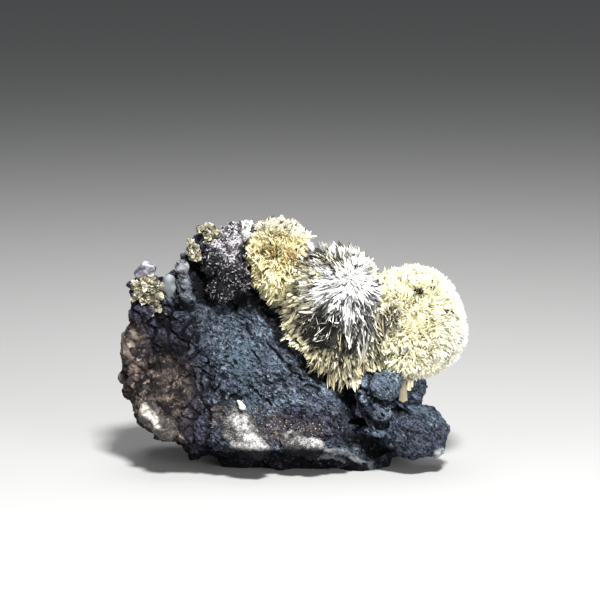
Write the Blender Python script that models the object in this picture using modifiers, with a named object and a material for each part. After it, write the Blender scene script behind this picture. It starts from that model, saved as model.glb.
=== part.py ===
"""Aragonite specimen: radiating crystal sprays grown over a dark, craggy host rock.

Run it with  blender --background --python part.py  or from Blender's text editor.
Metres, +Z up. The specimen stands on the flat foot of the rock with its sprays to the
front and upper right; -Y is the front. The origin is under the middle of the whole
specimen, on the surface that it stands on.
"""

import math
import random

import bmesh
import bpy
from mathutils import Euler, Matrix, Vector

MM = 0.001

# All sizes and places below are millimetres: x to the right, y to the back, z up.
# Turns and leans are degrees about y, which tip the top towards +x.
CONTACT_GAP = 0.3
SLIVER = 0.02

ROCK_DEPTH = 44.0
ROCK_EDGE_ROUNDING = 4.0
ROCK_VOXEL = 0.9
ROCK_TRIANGLES = 3000
BOULDER_UNEVENNESS = (14.0, 5.0)
BLOCK_RELIEF = (7.0, 5.0)

GROWTH_VOXEL = 0.45
GROWTH_UNEVENNESS = (3.2, 2.4)

DOME_SQUARENESS = 2.5
BED_SHARE = 0.80
BED_POINTS = 60
BED_TIP_REACH = (0.90, 1.0)
BLADE_TIP_REACH = (0.95, 1.0)
GOLDEN_ANGLE = math.pi * (3 - math.sqrt(5))

# A blade's shape, as shares of its width or length: how wide it is at its root and at its
# shoulder, where the shoulder is, and how thick it is.
BLADE_ROOT_RADIUS = 0.4
BLADE_SHOULDER_RADIUS = 0.6
BLADE_SHOULDER = 0.82
BLADE_FLATNESS = 0.6
BLADE_START = 0.45
WIDTH_SPREAD = (0.8, 1.2)
LENGTH_SPREAD = (0.8, 1.1)
HEART_RADIUS = 0.8
HIDDEN_BEHIND = 0.35

# Outline of the rock's main mass seen from the front, (x, z), from its left foot.
ROCK_OUTLINE = [
    (-23, 1), (-31, 5), (-38, 10), (-41.5, 17), (-43, 28), (-41.5, 38), (-41.0, 45), (-33, 47),
    (-27, 52), (-20, 58), (-9, 57), (0, 50), (10, 44), (22, 37), (30, 29), (31, 21), (29, 15),
    (31, 8), (25, 1), (14, -3), (-8, -3), (-18, -2),
]

# Planes that shape the main mass, (point, outward normal): what lies beyond each is cut away.
ROCK_FACETS = [
    ((0, -21, 9), (0.04, -0.93, 0.36)),
    ((0, -21, 8.5), (0.0, -0.62, -0.78)),
    ((-33, -17, 20), (-0.55, -0.82, 0.15)),
    ((-40, -10, 20), (-0.90, -0.42, 0.05)),
    ((-34, -14, 9), (-0.45, -0.40, -0.80)),
    ((17, -20, 16), (0.50, -0.86, 0.1)),
    ((-6, 20, 20), (-0.2, 0.93, 0.3)),
    ((26, 15, 20), (0.6, 0.78, 0.15)),
    ((-34, 14, 20), (-0.66, 0.72, 0.2)),
    ((0, 8, 52), (0.1, 0.45, 0.88)),
    ((0, 19, 4), (0.0, 0.6, -0.8)),
]

# Boulders and lumps grown into the main mass: centre, radii, turn.
ROCK_LUMPS = {
    "boulder_shoulder": ((-12, 1, 56), (7, 7, 5.6), 0),
    "column_top": ((-22.5, -2, 55.5), (4.2, 5, 4.4), 0),
    "column_knob": ((-26.6, -6, 51.5), (3.0, 3.6, 3.4), 0),
    "column_block": ((-25.2, -9, 45), (3.4, 4, 4.8), 10),
    "corner_knob": ((-36.0, -4, 49.5), (3.4, 4, 3.0), -15),
    "corner_block": ((-38.8, -6, 45), (2.8, 5, 4.4), 0),
    "left_ledge": ((-37.4, -9, 39.5), (4.8, 6, 4), 10),
    "left_swelling": ((-39.6, -7, 31.0), (4.4, 7, 5.6), 0),
    "left_knuckle": ((-39.4, -8, 23.5), (3.8, 6, 4.0), 0),
    "lower_left_bulge": ((-33, -9, 15.5), (8.8, 9, 7.2), 25),
    "face_swelling": ((-8, -14, 27), (14, 6, 12), -25),
    "face_left": ((-24, -12, 32), (7, 6, 8), 0),
    "front_shelf": ((-9, -17, 9.5), (9, 5, 4.5), 8),
    "front_lip": ((4, -17, 7.5), (7, 4.5, 4), 0),
    "under_lens": ((12, -9, 3), (9.5, 7, 3.2), 6),
    "under_left": ((-19, -6, 4), (9, 7, 3.4), -8),
    "upper_right_block": ((22, -13, 21.5), (7.0, 6.5, 5.4), 12),
    "recess_block": ((18.5, -9, 13), (6, 6, 6), 0),
    "right_neck": ((29, -4, 21), (4.6, 8, 7), 0),
    "right_lobe": ((29.5, -10, 9.8), (8.8, 9, 8.2), 20),
    "right_toe": ((35.0, -9, 4.5), (4, 6, 4), 0),
    "back_swelling": ((4, 12, 22), (18, 9, 16), 0),
    "back_left": ((-24, 10, 22), (10, 8, 13), 0),
}

# Clefts between the boulders: centre, radii, turn.
ROCK_CLEFTS = {
    "left_of_druse": ((-22.2, -12, 50), (1.2, 8, 9), 2),
    "under_druse": ((-16.0, -13, 41.0), (6.0, 5, 2.4), 5),
    "mouth": ((26, -20, 15.6), (3.0, 7, 1.3), 10),
    "under_block": ((19, -21, 16.6), (5.0, 6, 0.8), 12),
    "beside_face": ((15.4, -20, 14.0), (1.7, 8, 9), -16),
    "below_recess": ((19.4, -19, 6.2), (5.0, 8, 3.8), -20),
    "face_crack": ((-18.5, -21, 24), (0.9, 5, 5), 20),
    "left_crack": ((-27, -19, 33), (0.9, 5, 7), -12),
}

# Sprays: the dome that the crystal tips reach, the nucleus that the crystals grow from,
# how many long blades stand out of the bed of tips, and a blade's width.
SPRAYS = {
    "sunburst_spray": {
        "centre": (11.6, -8.0, 38.2), "radii": (13.8, 12.0, 19.4), "lean": -14,
        "nucleus": (14.5, -12.0, 48.5), "blades": 44, "width": 2.6, "seed": 23,
    },
    "honey_spray": {
        "centre": (-2.4, -3.5, 51.2), "radii": (9.6, 10.5, 12.2), "lean": -14,
        "nucleus": (-1.0, -2.5, 53.0), "blades": 26, "width": 2.2, "seed": 11,
    },
    "cream_spray": {
        "centre": (29.1, -5.0, 35.8), "radii": (14.8, 12.5, 15.3), "lean": -20,
        "nucleus": (29.0, -6.5, 36.0), "blades": 30, "width": 2.2, "seed": 41,
    },
}

# Small tufts of blades: the point they grow from, the mean direction, how wide they fan
# out in degrees, and the blades' count, length and width.
TUFTS = {
    "upper_tuft": {
        "root": (-19.4, -4, 57.8), "aim": (-0.55, -0.7, 0.2), "fan": 65,
        "blades": 11, "length": 4.6, "width": 1.8, "seed": 5,
    },
    "shoulder_tuft": {
        "root": (-23.6, -6, 54.6), "aim": (-0.4, -0.85, 0.0), "fan": 60,
        "blades": 8, "length": 3.8, "width": 1.7, "seed": 6,
    },
    "corner_tuft": {
        "root": (-35.0, -10, 46.0), "aim": (0.0, -0.95, -0.1), "fan": 78,
        "blades": 13, "length": 5.2, "width": 2.0, "seed": 7,
    },
    "stray_blades": {
        "root": (28.2, -12.5, 24.5), "aim": (-0.05, -0.35, -0.9), "fan": 24,
        "blades": 4, "length": 6.4, "width": 1.5, "seed": 8,
    },
}

# Rounded growths seated on the rock: how many triangles their skin has and the balls that
# they are grown from (centre, radii, turn). ON_FACE stands for the y of the rock's front.
ON_FACE = None
GROWTHS = {
    "druse_boulder": (430, [
        ((-14.6, -5.5, 57.4), (3.4, 5.0, 3.8), 0),
        ((-18.6, -6.5, 52.0), (3.4, 5.0, 5.2), 0),
        ((-14.4, -7.5, 50.0), (4.6, 5.5, 5.6), 0),
        ((-17.2, -7.5, 45.6), (3.4, 4.6, 4.2), 0),
    ]),
    "white_knob": (110, [((-10.4, -6.0, 58.2), (2.6, 4.0, 3.8), 0)]),
    "corner_calcite": (110, [((-36.0, -6.5, 49.6), (3.0, 3.6, 2.0), -18)]),
    "grey_crystal": (100, [((-30.0, ON_FACE, 45.4), (2.4, 2.6, 3.4), 4)]),
    "front_calcite": (260, [
        ((-12.6, ON_FACE, 12.6), (4.6, 2.6, 4.4), 24),
        ((-10.0, ON_FACE, 9.0), (5.0, 2.6, 3.4), 10),
    ]),
    "lip_calcite": (200, [
        ((0.4, ON_FACE, 9.4), (3.8, 2.4, 3.0), 10),
        ((5.0, ON_FACE, 7.8), (3.2, 2.2, 2.4), 0),
    ]),
    "left_calcite": (180, [
        ((-34.4, ON_FACE, 16.0), (3.4, 2.2, 2.8), 34),
        ((-30.6, ON_FACE, 12.8), (4.2, 2.2, 2.6), 34),
    ]),
    "calcite_blade": (60, [((-12.2, ON_FACE, 17.8), (0.9, 1.3, 2.1), -35)]),
}

# The earlier growths whose space a later one keeps out of.
GROWN_AGAINST = {
    "honey_spray": ["sunburst_spray"],
    "cream_spray": ["sunburst_spray", "honey_spray"],
    "druse_boulder": ["honey_spray"],
    "white_knob": ["honey_spray", "druse_boulder"],
    "lip_calcite": ["front_calcite"],
    "calcite_blade": ["front_calcite"],
    "upper_tuft": ["druse_boulder"],
    "shoulder_tuft": ["druse_boulder", "upper_tuft"],
    "corner_tuft": ["corner_calcite", "grey_crystal"],
    "stray_blades": ["cream_spray", "sunburst_spray"],
}

COLOURS = {
    "host_rock": ((0.035, 0.043, 0.058), 0.9),
    "honey_spray": ((0.78, 0.62, 0.34), 0.45),
    "sunburst_spray": ((0.80, 0.77, 0.62), 0.4),
    "cream_spray": ((0.86, 0.80, 0.52), 0.45),
    "upper_tuft": ((0.78, 0.72, 0.50), 0.5),
    "shoulder_tuft": ((0.62, 0.56, 0.40), 0.5),
    "corner_tuft": ((0.66, 0.60, 0.42), 0.5),
    "stray_blades": ((0.62, 0.56, 0.34), 0.4),
    "druse_boulder": ((0.20, 0.19, 0.20), 0.5),
    "white_knob": ((0.70, 0.70, 0.70), 0.35),
    "corner_calcite": ((0.45, 0.44, 0.45), 0.5),
    "grey_crystal": ((0.30, 0.34, 0.38), 0.4),
    "front_calcite": ((0.66, 0.64, 0.60), 0.4),
    "lip_calcite": ((0.58, 0.55, 0.50), 0.4),
    "left_calcite": ((0.48, 0.42, 0.34), 0.5),
    "calcite_blade": ((0.80, 0.80, 0.78), 0.3),
}


def vec(point):
    """A point or a size given in millimetres, in metres."""
    return Vector(point) * MM


def material(name):
    """A Principled material for one sub-part."""
    colour, roughness = COLOURS[name]
    made = bpy.data.materials.new(name)
    made.use_nodes = True
    shader = made.node_tree.nodes["Principled BSDF"]
    shader.inputs["Base Color"].default_value = (*colour, 1)
    shader.inputs["Roughness"].default_value = roughness
    shader.inputs["Metallic"].default_value = 0.0
    return made


def object_from_bmesh(name, bm, collection):
    mesh = bpy.data.meshes.new(name)
    bm.to_mesh(mesh)
    bm.free()
    made = bpy.data.objects.new(name, mesh)
    collection.objects.link(made)
    return made


def evaluated_mesh(obj):
    bpy.context.view_layer.update()
    graph = bpy.context.evaluated_depsgraph_get()
    return bpy.data.meshes.new_from_object(obj.evaluated_get(graph), depsgraph=graph)


def apply_modifiers(obj):
    """Replaces the object's mesh with what its modifiers make of it."""
    made = evaluated_mesh(obj)
    obj.modifiers.clear()
    obj.data = made


def boolean(obj, operation, other, self_crossing=False):
    """Joins other to obj, or cuts it away, and removes other."""
    step = obj.modifiers.new(operation.title(), "BOOLEAN")
    step.operation = operation
    step.solver = "EXACT"
    step.use_self = self_crossing
    step.object = other
    apply_modifiers(obj)
    bpy.data.objects.remove(other)


def faces_beside(face):
    """The faces across this one's edges, leaving out edges where two bodies only touch."""
    for edge in face.edges:
        if len(edge.link_faces) == 2:
            yield from edge.link_faces


def connected_bodies(bm):
    """The mesh's separate bodies, each as a set of faces."""
    unseen = set(bm.faces)
    bodies = []
    while unseen:
        body, front = set(), {unseen.pop()}
        while front:
            body |= front
            front = {beside for face in front for beside in faces_beside(face)} - body
        unseen -= body
        bodies.append(body)
    return bodies


def keep_largest_body(obj):
    """Drops the loose scraps that a cut leaves."""
    bm = bmesh.new()
    bm.from_mesh(obj.data)
    bmesh.ops.remove_doubles(bm, verts=bm.verts, dist=SLIVER * MM)
    bmesh.ops.dissolve_degenerate(bm, edges=bm.edges, dist=SLIVER * MM)
    largest = max(connected_bodies(bm), key=len)
    bmesh.ops.delete(bm, geom=[face for face in bm.faces if face not in largest], context="FACES")
    bmesh.ops.triangulate(bm, faces=bm.faces)
    bm.to_mesh(obj.data)
    bm.free()


def add_ball(bm, centre, radii, turn):
    """A ball with three radii, turned about y."""
    place = (
        Matrix.Translation(vec(centre))
        @ Matrix.Rotation(math.radians(turn), 4, "Y")
        @ Matrix.Diagonal((*vec(radii), 1))
    )
    bmesh.ops.create_icosphere(bm, subdivisions=3, radius=1, matrix=place)


def below_the_foot(collection):
    """A big box that reaches up to the surface that the specimen stands on."""
    side = 4 * ROCK_DEPTH * MM
    bm = bmesh.new()
    bmesh.ops.create_cube(bm, size=side, matrix=Matrix.Translation((0, 0, -side / 2)))
    return object_from_bmesh("below_the_foot", bm, collection)


def swollen(obj, collection):
    """A copy of an object that stands proud of it by the contact gap."""
    copy = bpy.data.objects.new("swollen", obj.data.copy())
    collection.objects.link(copy)
    step = copy.modifiers.new("Swell", "DISPLACE")
    step.direction = "NORMAL"
    step.mid_level = 0
    step.strength = CONTACT_GAP * MM
    apply_modifiers(copy)
    return copy


def fuse_by_voxels(obj, voxel):
    step = obj.modifiers.new("Fuse", "REMESH")
    step.mode = "VOXEL"
    step.voxel_size = voxel * MM
    apply_modifiers(obj)


def roughen(obj, texture, size, strength, mid_level):
    """Moves the surface in and out with one of Blender's textures."""
    texture.noise_scale = size * MM
    step = obj.modifiers.new("Roughen", "DISPLACE")
    step.texture = texture
    step.texture_coords = "LOCAL"
    step.strength = strength * MM
    step.mid_level = mid_level
    apply_modifiers(obj)


def add_unevenness(obj, size, strength):
    """Soft swellings and hollows; size and strength in millimetres."""
    roughen(obj, bpy.data.textures.new("unevenness", "CLOUDS"), size, strength, 0.5)


def add_blocks(obj, size, strength):
    """Raised blocks with cracks between them; size and strength in millimetres."""
    cells = bpy.data.textures.new("blocks", "VORONOI")
    cells.weight_1, cells.weight_2 = -1, 1
    roughen(obj, cells, size, strength, 0.3)


def thin_to(obj, triangles):
    """Collapses the mesh to about this many triangles."""
    step = obj.modifiers.new("Thin", "DECIMATE")
    step.ratio = triangles / sum(len(face.vertices) - 2 for face in obj.data.polygons)
    apply_modifiers(obj)


# ---------------------------------------------------------------- host rock

def rock_mass(collection):
    """The main mass: the front outline extruded through the rock's depth, then faceted."""
    outline = bpy.data.curves.new("rock_outline", "CURVE")
    outline.dimensions = "2D"
    outline.fill_mode = "BOTH"
    outline.extrude = (ROCK_DEPTH / 2 - ROCK_EDGE_ROUNDING) * MM
    outline.bevel_depth = ROCK_EDGE_ROUNDING * MM
    outline.bevel_resolution = 1
    outline.offset = -ROCK_EDGE_ROUNDING * MM
    line = outline.splines.new("POLY")
    line.points.add(len(ROCK_OUTLINE) - 1)
    line.use_cyclic_u = True
    for point, (x, z) in zip(line.points, ROCK_OUTLINE):
        point.co = (x * MM, z * MM, 0, 1)
    standing = bpy.data.objects.new("rock_outline", outline)
    standing.rotation_euler = Euler((math.pi / 2, 0, 0))
    collection.objects.link(standing)
    mesh = evaluated_mesh(standing)
    mesh.transform(standing.matrix_world)
    bpy.data.objects.remove(standing)
    bm = bmesh.new()
    bm.from_mesh(mesh)
    bmesh.ops.remove_doubles(bm, verts=bm.verts, dist=0.02 * MM)
    for point, normal in ROCK_FACETS:
        geometry = [*bm.verts, *bm.edges, *bm.faces]
        cut = bmesh.ops.bisect_plane(
            bm, geom=geometry, plane_co=vec(point), plane_no=normal, clear_outer=True
        )
        rim = [part for part in cut["geom_cut"] if isinstance(part, bmesh.types.BMEdge)]
        bmesh.ops.edgeloop_fill(bm, edges=rim)
    return bm


def host_rock(collection):
    bm = rock_mass(collection)
    for centre, radii, turn in ROCK_LUMPS.values():
        add_ball(bm, centre, radii, turn)
    rock = object_from_bmesh("host_rock", bm, collection)
    fuse_by_voxels(rock, ROCK_VOXEL)
    for centre, radii, turn in ROCK_CLEFTS.values():
        cleft = bmesh.new()
        add_ball(cleft, centre, radii, turn)
        boolean(rock, "DIFFERENCE", object_from_bmesh("cleft", cleft, collection))
    add_unevenness(rock, *BOULDER_UNEVENNESS)
    add_blocks(rock, *BLOCK_RELIEF)
    fuse_by_voxels(rock, ROCK_VOXEL)
    thin_to(rock, ROCK_TRIANGLES)
    boolean(rock, "DIFFERENCE", below_the_foot(collection))
    keep_largest_body(rock)
    return rock


# ---------------------------------------------------------------- crystals

def add_blade(bm, root, tip, width, roll):
    """A flat four-sided crystal that widens from its root and ends in a point."""
    along = tip - root
    shaft = along.length * BLADE_SHOULDER
    verts = bmesh.ops.create_cone(
        bm,
        cap_ends=True,
        segments=4,
        radius1=width * BLADE_ROOT_RADIUS,
        radius2=width * BLADE_SHOULDER_RADIUS,
        depth=shaft,
    )["verts"]
    bmesh.ops.translate(bm, verts=verts, vec=(0, 0, shaft / 2))
    faces = {face for v in verts for face in v.link_faces}
    top = max(faces, key=lambda face: face.calc_center_median().z)
    point = bmesh.ops.poke(bm, faces=[top])["verts"][0]
    point.co.z = along.length
    place = (
        Matrix.Translation(root)
        @ along.to_track_quat("Z", "Y").to_matrix().to_4x4()
        @ Matrix.Rotation(roll, 4, "Z")
        @ Matrix.Diagonal((1, BLADE_FLATNESS, 1, 1))
    )
    bmesh.ops.transform(bm, matrix=place, verts=[*verts, point])


def even_directions(count):
    """Directions spread evenly over a sphere along a golden-angle spiral."""
    for i in range(count):
        z = 1 - 2 * (i + 0.5) / count
        r = math.sqrt(1 - z * z)
        yield Vector((r * math.cos(i * GOLDEN_ANGLE), r * math.sin(i * GOLDEN_ANGLE), z))


def on_dome(plan, direction, share):
    """The point of a spray's dome in a direction of its own frame, at a share of its radius."""
    power = DOME_SQUARENESS
    roundness = sum(abs(d) ** power for d in direction) ** (-1 / power)
    local = Vector([r * d * roundness * share for r, d in zip(vec(plan["radii"]), direction)])
    return vec(plan["centre"]) + Matrix.Rotation(math.radians(plan["lean"]), 3, "Y") @ local


def dome(plan, share, points):
    """The dome as a convex body."""
    bm = bmesh.new()
    for direction in even_directions(points):
        bm.verts.new(on_dome(plan, direction, share))
    bmesh.ops.convex_hull(bm, input=bm.verts)
    return bm


def spike_bed(plan, rng):
    """The ball of short pointed tips between a spray's long blades."""
    bm = dome(plan, BED_SHARE, BED_POINTS)
    centre = vec(plan["centre"])
    upright = Matrix.Rotation(math.radians(-plan["lean"]), 3, "Y")
    for tip in bmesh.ops.poke(bm, faces=bm.faces)["verts"]:
        local = upright @ (tip.co - centre)
        direction = Vector([a / r for a, r in zip(local, plan["radii"])]).normalized()
        tip.co = on_dome(plan, direction, rng.uniform(*BED_TIP_REACH))
    return bm


def spray(name, collection):
    """Crystals that grow from one nucleus out to a dome, fused to their bed of tips."""
    plan = SPRAYS[name]
    rng = random.Random(plan["seed"])
    body = object_from_bmesh(name, spike_bed(plan, rng), collection)
    blades = bmesh.new()
    nucleus = vec(plan["nucleus"])
    for direction in even_directions(plan["blades"]):
        if direction.y > HIDDEN_BEHIND:
            continue
        tip = on_dome(plan, direction, rng.uniform(*BLADE_TIP_REACH))
        width = plan["width"] * rng.uniform(*WIDTH_SPREAD) * MM
        add_blade(blades, nucleus.lerp(tip, BLADE_START), tip, width, rng.uniform(0, math.pi))
    boolean(body, "UNION", object_from_bmesh("blades", blades, collection), self_crossing=True)
    return body


def tuft(name, collection):
    """A fan of blades that share one root."""
    plan = TUFTS[name]
    rng = random.Random(plan["seed"])
    turn = Vector(plan["aim"]).to_track_quat("Z", "Y")
    root = vec(plan["root"])
    bm = bmesh.new()
    for i in range(plan["blades"]):
        lean = math.radians(plan["fan"]) * math.sqrt((i + 0.5) / plan["blades"])
        around = i * GOLDEN_ANGLE
        flat = math.sin(lean)
        direction = turn @ Vector((flat * math.cos(around), flat * math.sin(around), math.cos(lean)))
        tip = root + direction * plan["length"] * rng.uniform(*LENGTH_SPREAD) * MM
        width = plan["width"] * rng.uniform(*WIDTH_SPREAD) * MM
        add_blade(bm, root, tip, width, rng.uniform(0, math.pi))
    body = object_from_bmesh(name, bm, collection)
    heart = bmesh.new()
    radius = plan["width"] * HEART_RADIUS * MM
    bmesh.ops.create_icosphere(heart, subdivisions=1, radius=radius, matrix=Matrix.Translation(root))
    boolean(body, "UNION", object_from_bmesh("heart", heart, collection), self_crossing=True)
    return body


def front_of(rock, x, z):
    """How far forward the rock's surface is at this place of its front."""
    hit, point, _, _ = rock.ray_cast(vec((x, -ROCK_DEPTH, z)), Vector((0, 1, 0)))
    return point.y / MM


def growth(name, rock, collection):
    """A rounded growth with an uneven, lumpy skin."""
    triangles, balls = GROWTHS[name]
    bm = bmesh.new()
    for (x, y, z), radii, turn in balls:
        y = front_of(rock, x, z) if y is ON_FACE else y
        add_ball(bm, (x, y, z), radii, turn)
    body = object_from_bmesh(name, bm, collection)
    fuse_by_voxels(body, GROWTH_VOXEL)
    add_unevenness(body, *GROWTH_UNEVENNESS)
    thin_to(body, triangles)
    return body


def room_of(neighbour, collection):
    """The space that an earlier growth and its contact gap take up."""
    if neighbour.name not in SPRAYS:
        return swollen(neighbour, collection)
    plan = SPRAYS[neighbour.name]
    share = 1 + 2 * CONTACT_GAP / min(plan["radii"])
    return object_from_bmesh("room", dome(plan, share, 4 * BED_POINTS), collection)


def seat(body, rock, grown, collection):
    """Trims a growth to the rock and to the growths that were there before it."""
    for neighbour in GROWN_AGAINST.get(body.name, []):
        boolean(body, "DIFFERENCE", room_of(grown[neighbour], collection), self_crossing=True)
    boolean(body, "DIFFERENCE", swollen(rock, collection), self_crossing=True)
    keep_largest_body(body)


def set_down(objects):
    """Moves everything so that the origin is under the middle, at the foot."""
    corners = [v.co for obj in objects for v in obj.data.vertices]
    low = Vector([min(c[i] for c in corners) for i in range(3)])
    high = Vector([max(c[i] for c in corners) for i in range(3)])
    shift = Matrix.Translation((-(low.x + high.x) / 2, -(low.y + high.y) / 2, -low.z))
    for obj in objects:
        obj.data.transform(shift)


def main():
    for obj in list(bpy.data.objects):
        bpy.data.objects.remove(obj)
    specimen = bpy.data.collections.new("aragonite_specimen")
    bpy.context.scene.collection.children.link(specimen)
    rock = host_rock(specimen)
    grown = {}
    for name in [*SPRAYS, *GROWTHS, *TUFTS]:
        if name in SPRAYS:
            body = spray(name, specimen)
        elif name in GROWTHS:
            body = growth(name, rock, specimen)
        else:
            body = tuft(name, specimen)
        seat(body, rock, grown, specimen)
        grown[name] = body
    set_down([rock, *grown.values()])
    for obj in [rock, *grown.values()]:
        obj.data.materials.clear()
        obj.data.materials.append(material(obj.name))


main()
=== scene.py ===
"""Looks of the aragonite specimen: crystal sprays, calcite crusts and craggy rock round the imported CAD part.

Sizes and places are millimetres in the part's frame unless a name says otherwise: x to the right,
y to the back, z up, with the origin under the middle of the specimen.
"""
import math

import bmesh
import bpy
import numpy as np
from mathutils import Matrix, Vector, noise
from mathutils.bvhtree import BVHTree


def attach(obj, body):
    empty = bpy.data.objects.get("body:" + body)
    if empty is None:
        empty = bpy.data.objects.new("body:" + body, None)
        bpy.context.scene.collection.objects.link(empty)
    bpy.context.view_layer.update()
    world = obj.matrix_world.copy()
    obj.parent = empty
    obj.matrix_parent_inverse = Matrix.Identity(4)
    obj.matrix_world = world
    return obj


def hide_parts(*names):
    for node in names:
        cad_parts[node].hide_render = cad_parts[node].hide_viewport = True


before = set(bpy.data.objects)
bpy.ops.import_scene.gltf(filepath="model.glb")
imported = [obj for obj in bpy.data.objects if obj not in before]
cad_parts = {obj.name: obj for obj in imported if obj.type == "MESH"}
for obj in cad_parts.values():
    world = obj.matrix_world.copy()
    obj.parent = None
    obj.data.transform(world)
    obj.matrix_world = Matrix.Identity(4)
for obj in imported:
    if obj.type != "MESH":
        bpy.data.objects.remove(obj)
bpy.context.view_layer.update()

MM = 0.001
GOLDEN_ANGLE = math.pi * (3 - math.sqrt(5))
# Blender's vector noise starts from the clock unless it is given a seed.
NOISE_SEED = 5
noise.seed_set(NOISE_SEED)

# ---------------------------------------------------------------- camera

PIXELS_PER_MM = 4.0
IMAGE_SIDE_PX = 600
LENS_MM = 135.0
SENSOR_MM = 36.0
CAMERA_ELEVATION = math.radians(10.0)
VIEW_COS = math.cos(CAMERA_ELEVATION)
VIEW_SIN = math.sin(CAMERA_ELEVATION)
# From the specimen to the camera, and up in the picture.
VIEW_BACK = Vector((0, -VIEW_COS, VIEW_SIN))
VIEW_UP = Vector((0, VIEW_SIN, VIEW_COS))
# The point of the foot that the picture is framed on, and how far right of it and above it
# the picture's middle is.
FRAMED_POINT = (-0.33, -7.08, 0.0)
FRAMED_RIGHT = 2.0
FRAMED_UP = 42.0
# How far back, in y, the front reaches that is seen in the photo.
FRONT_LIMIT = 2.0


def add_camera():
    """Looks along +Y from a little above, with the specimen framed as in a close-up."""
    data = bpy.data.cameras.new("camera")
    data.lens = LENS_MM
    data.sensor_width = SENSOR_MM
    data.clip_start = 0.01
    data.clip_end = 20
    camera = bpy.data.objects.new("camera", data)
    bpy.context.scene.collection.objects.link(camera)
    distance = IMAGE_SIDE_PX / PIXELS_PER_MM * LENS_MM / SENSOR_MM
    target = Vector(FRAMED_POINT) + Vector((FRAMED_RIGHT, 0, 0)) + VIEW_UP * FRAMED_UP
    camera.location = (target + VIEW_BACK * distance) * MM
    camera.rotation_euler = (-VIEW_BACK).to_track_quat("-Z", "Y").to_euler()
    bpy.context.scene.camera = camera


# ---------------------------------------------------------------- node materials

class Nodes:
    """Builds one Principled material, with a method for each kind of node."""

    def __init__(self, name):
        self.material = bpy.data.materials.new(name)
        self.material.use_nodes = True
        self.tree = self.material.node_tree
        self.shader = self.tree.nodes["Principled BSDF"]
        self.place = self.add("TexCoord", {})["Object"]

    def link(self, source, socket):
        self.tree.links.new(source, socket)

    def put(self, value, socket):
        """Sets a socket to a plain value or links a node's output to it."""
        if isinstance(value, bpy.types.NodeSocket):
            self.link(value, socket)
        else:
            socket.default_value = value

    def add(self, kind, inputs, **settings):
        """A new node's outputs, once its settings are made and its inputs set or linked."""
        node = self.tree.nodes.new("ShaderNode" + kind)
        for name, value in settings.items():
            setattr(node, name, value)
        for name, value in inputs.items():
            self.put(value, node.inputs[name])
        return node.outputs

    def attribute(self, name):
        """A number that the mesh carries at each of its points."""
        return self.add("Attribute", {}, attribute_name=name)["Fac"]

    def turned(self, angle, stretch):
        """The place turned about the y axis, then scaled along each axis."""
        inputs = {"Rotation": (0, angle, 0), "Scale": tuple(1 / s for s in stretch), "Vector": self.place}
        return self.add("Mapping", inputs, vector_type="TEXTURE")["Vector"]

    def noise(self, size, detail=3.0, roughness=0.6, place=None):
        """Cloudy noise whose features are about this many millimetres across."""
        inputs = {"Scale": 1 / (size * MM), "Detail": detail, "Roughness": roughness}
        return self.add("TexNoise", inputs | {"Vector": place or self.place})["Fac"]

    def flakes(self, size, place=None):
        """Cells about this many millimetres across: a number picked for each, and 0 to 1 towards its edge."""
        outputs = self.add("TexVoronoi", {"Scale": 1 / (size * MM), "Vector": place or self.place})
        return outputs["Color"], outputs["Distance"]

    def streaks(self, across, pick, along):
        """Lines that run the length of each blade, picked anew for each."""
        place = {"X": self.times(across, 3.0), "Y": self.times(pick, 60.0), "Z": self.times(along, 1.2)}
        inputs = {"Vector": self.add("CombineXYZ", place)["Vector"], "Scale": 1.0, "Detail": 2.0}
        return self.add("TexNoise", inputs)["Fac"]

    def math(self, operation, first, second=0.0):
        return self.add("Math", {0: first, 1: second}, operation=operation)[0]

    def plus(self, first, second):
        return self.math("ADD", first, second)

    def minus(self, first, second):
        return self.math("SUBTRACT", first, second)

    def times(self, first, second):
        return self.math("MULTIPLY", first, second)

    def steps(self, value, low, high):
        """0 below low, 1 above high, and a smooth rise between."""
        inputs = {"Value": value, "From Min": low, "From Max": high}
        return self.add("MapRange", inputs, interpolation_type="SMOOTHSTEP")["Result"]

    def mix(self, share, first, second, blend="MIX"):
        """A mix of two colours."""
        node = self.tree.nodes.new("ShaderNodeMix")
        node.data_type = "RGBA"
        node.blend_type = blend
        self.put(share, node.inputs["Factor"])
        colour_a, colour_b = [s for s in node.inputs if s.type == "RGBA"]
        self.put(rgba(first), colour_a)
        self.put(rgba(second), colour_b)
        return next(s for s in node.outputs if s.type == "RGBA")

    def bump(self, height, strength, distance):
        """Relief in the shading, this many millimetres deep."""
        inputs = {"Strength": strength, "Distance": distance * MM, "Height": height}
        self.link(self.add("Bump", inputs)["Normal"], self.shader.inputs["Normal"])

    def finish(self, colour, roughness, **sockets):
        """Sets the shader's colour, roughness and other plain values, and gives the material."""
        self.put(colour, self.shader.inputs["Base Color"])
        self.put(roughness, self.shader.inputs["Roughness"])
        for name, value in sockets.items():
            self.shader.inputs[name.replace("_", " ")].default_value = value
        return self.material


def rgba(colour):
    """A colour with an alpha, or a socket as it is."""
    if isinstance(colour, bpy.types.NodeSocket):
        return colour
    return (*colour, 1.0)


ROCK_LEAN = math.radians(40)
# BLACK is the colour of painted shade in the rock's cracks, nicks and hollows.
BLACK = (0.004, 0.004, 0.005)
SLATE = (0.068, 0.095, 0.124)
SLATE_PURPLE = (0.074, 0.089, 0.121)
SLATE_LIGHT = (0.21, 0.26, 0.32)
SLATE_DARK = (0.02, 0.024, 0.034)
PURPLE_DARK = (0.01, 0.01, 0.015)
PURPLE_GREY = (0.058, 0.057, 0.084)
TAN_DARK = (0.012, 0.01, 0.011)
TAN = (0.08, 0.061, 0.051)
TAN_LIGHT = (0.4, 0.33, 0.27)
PALE_DARK = (0.06, 0.06, 0.065)
PALE_LIGHT = (0.52, 0.53, 0.54)
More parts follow.
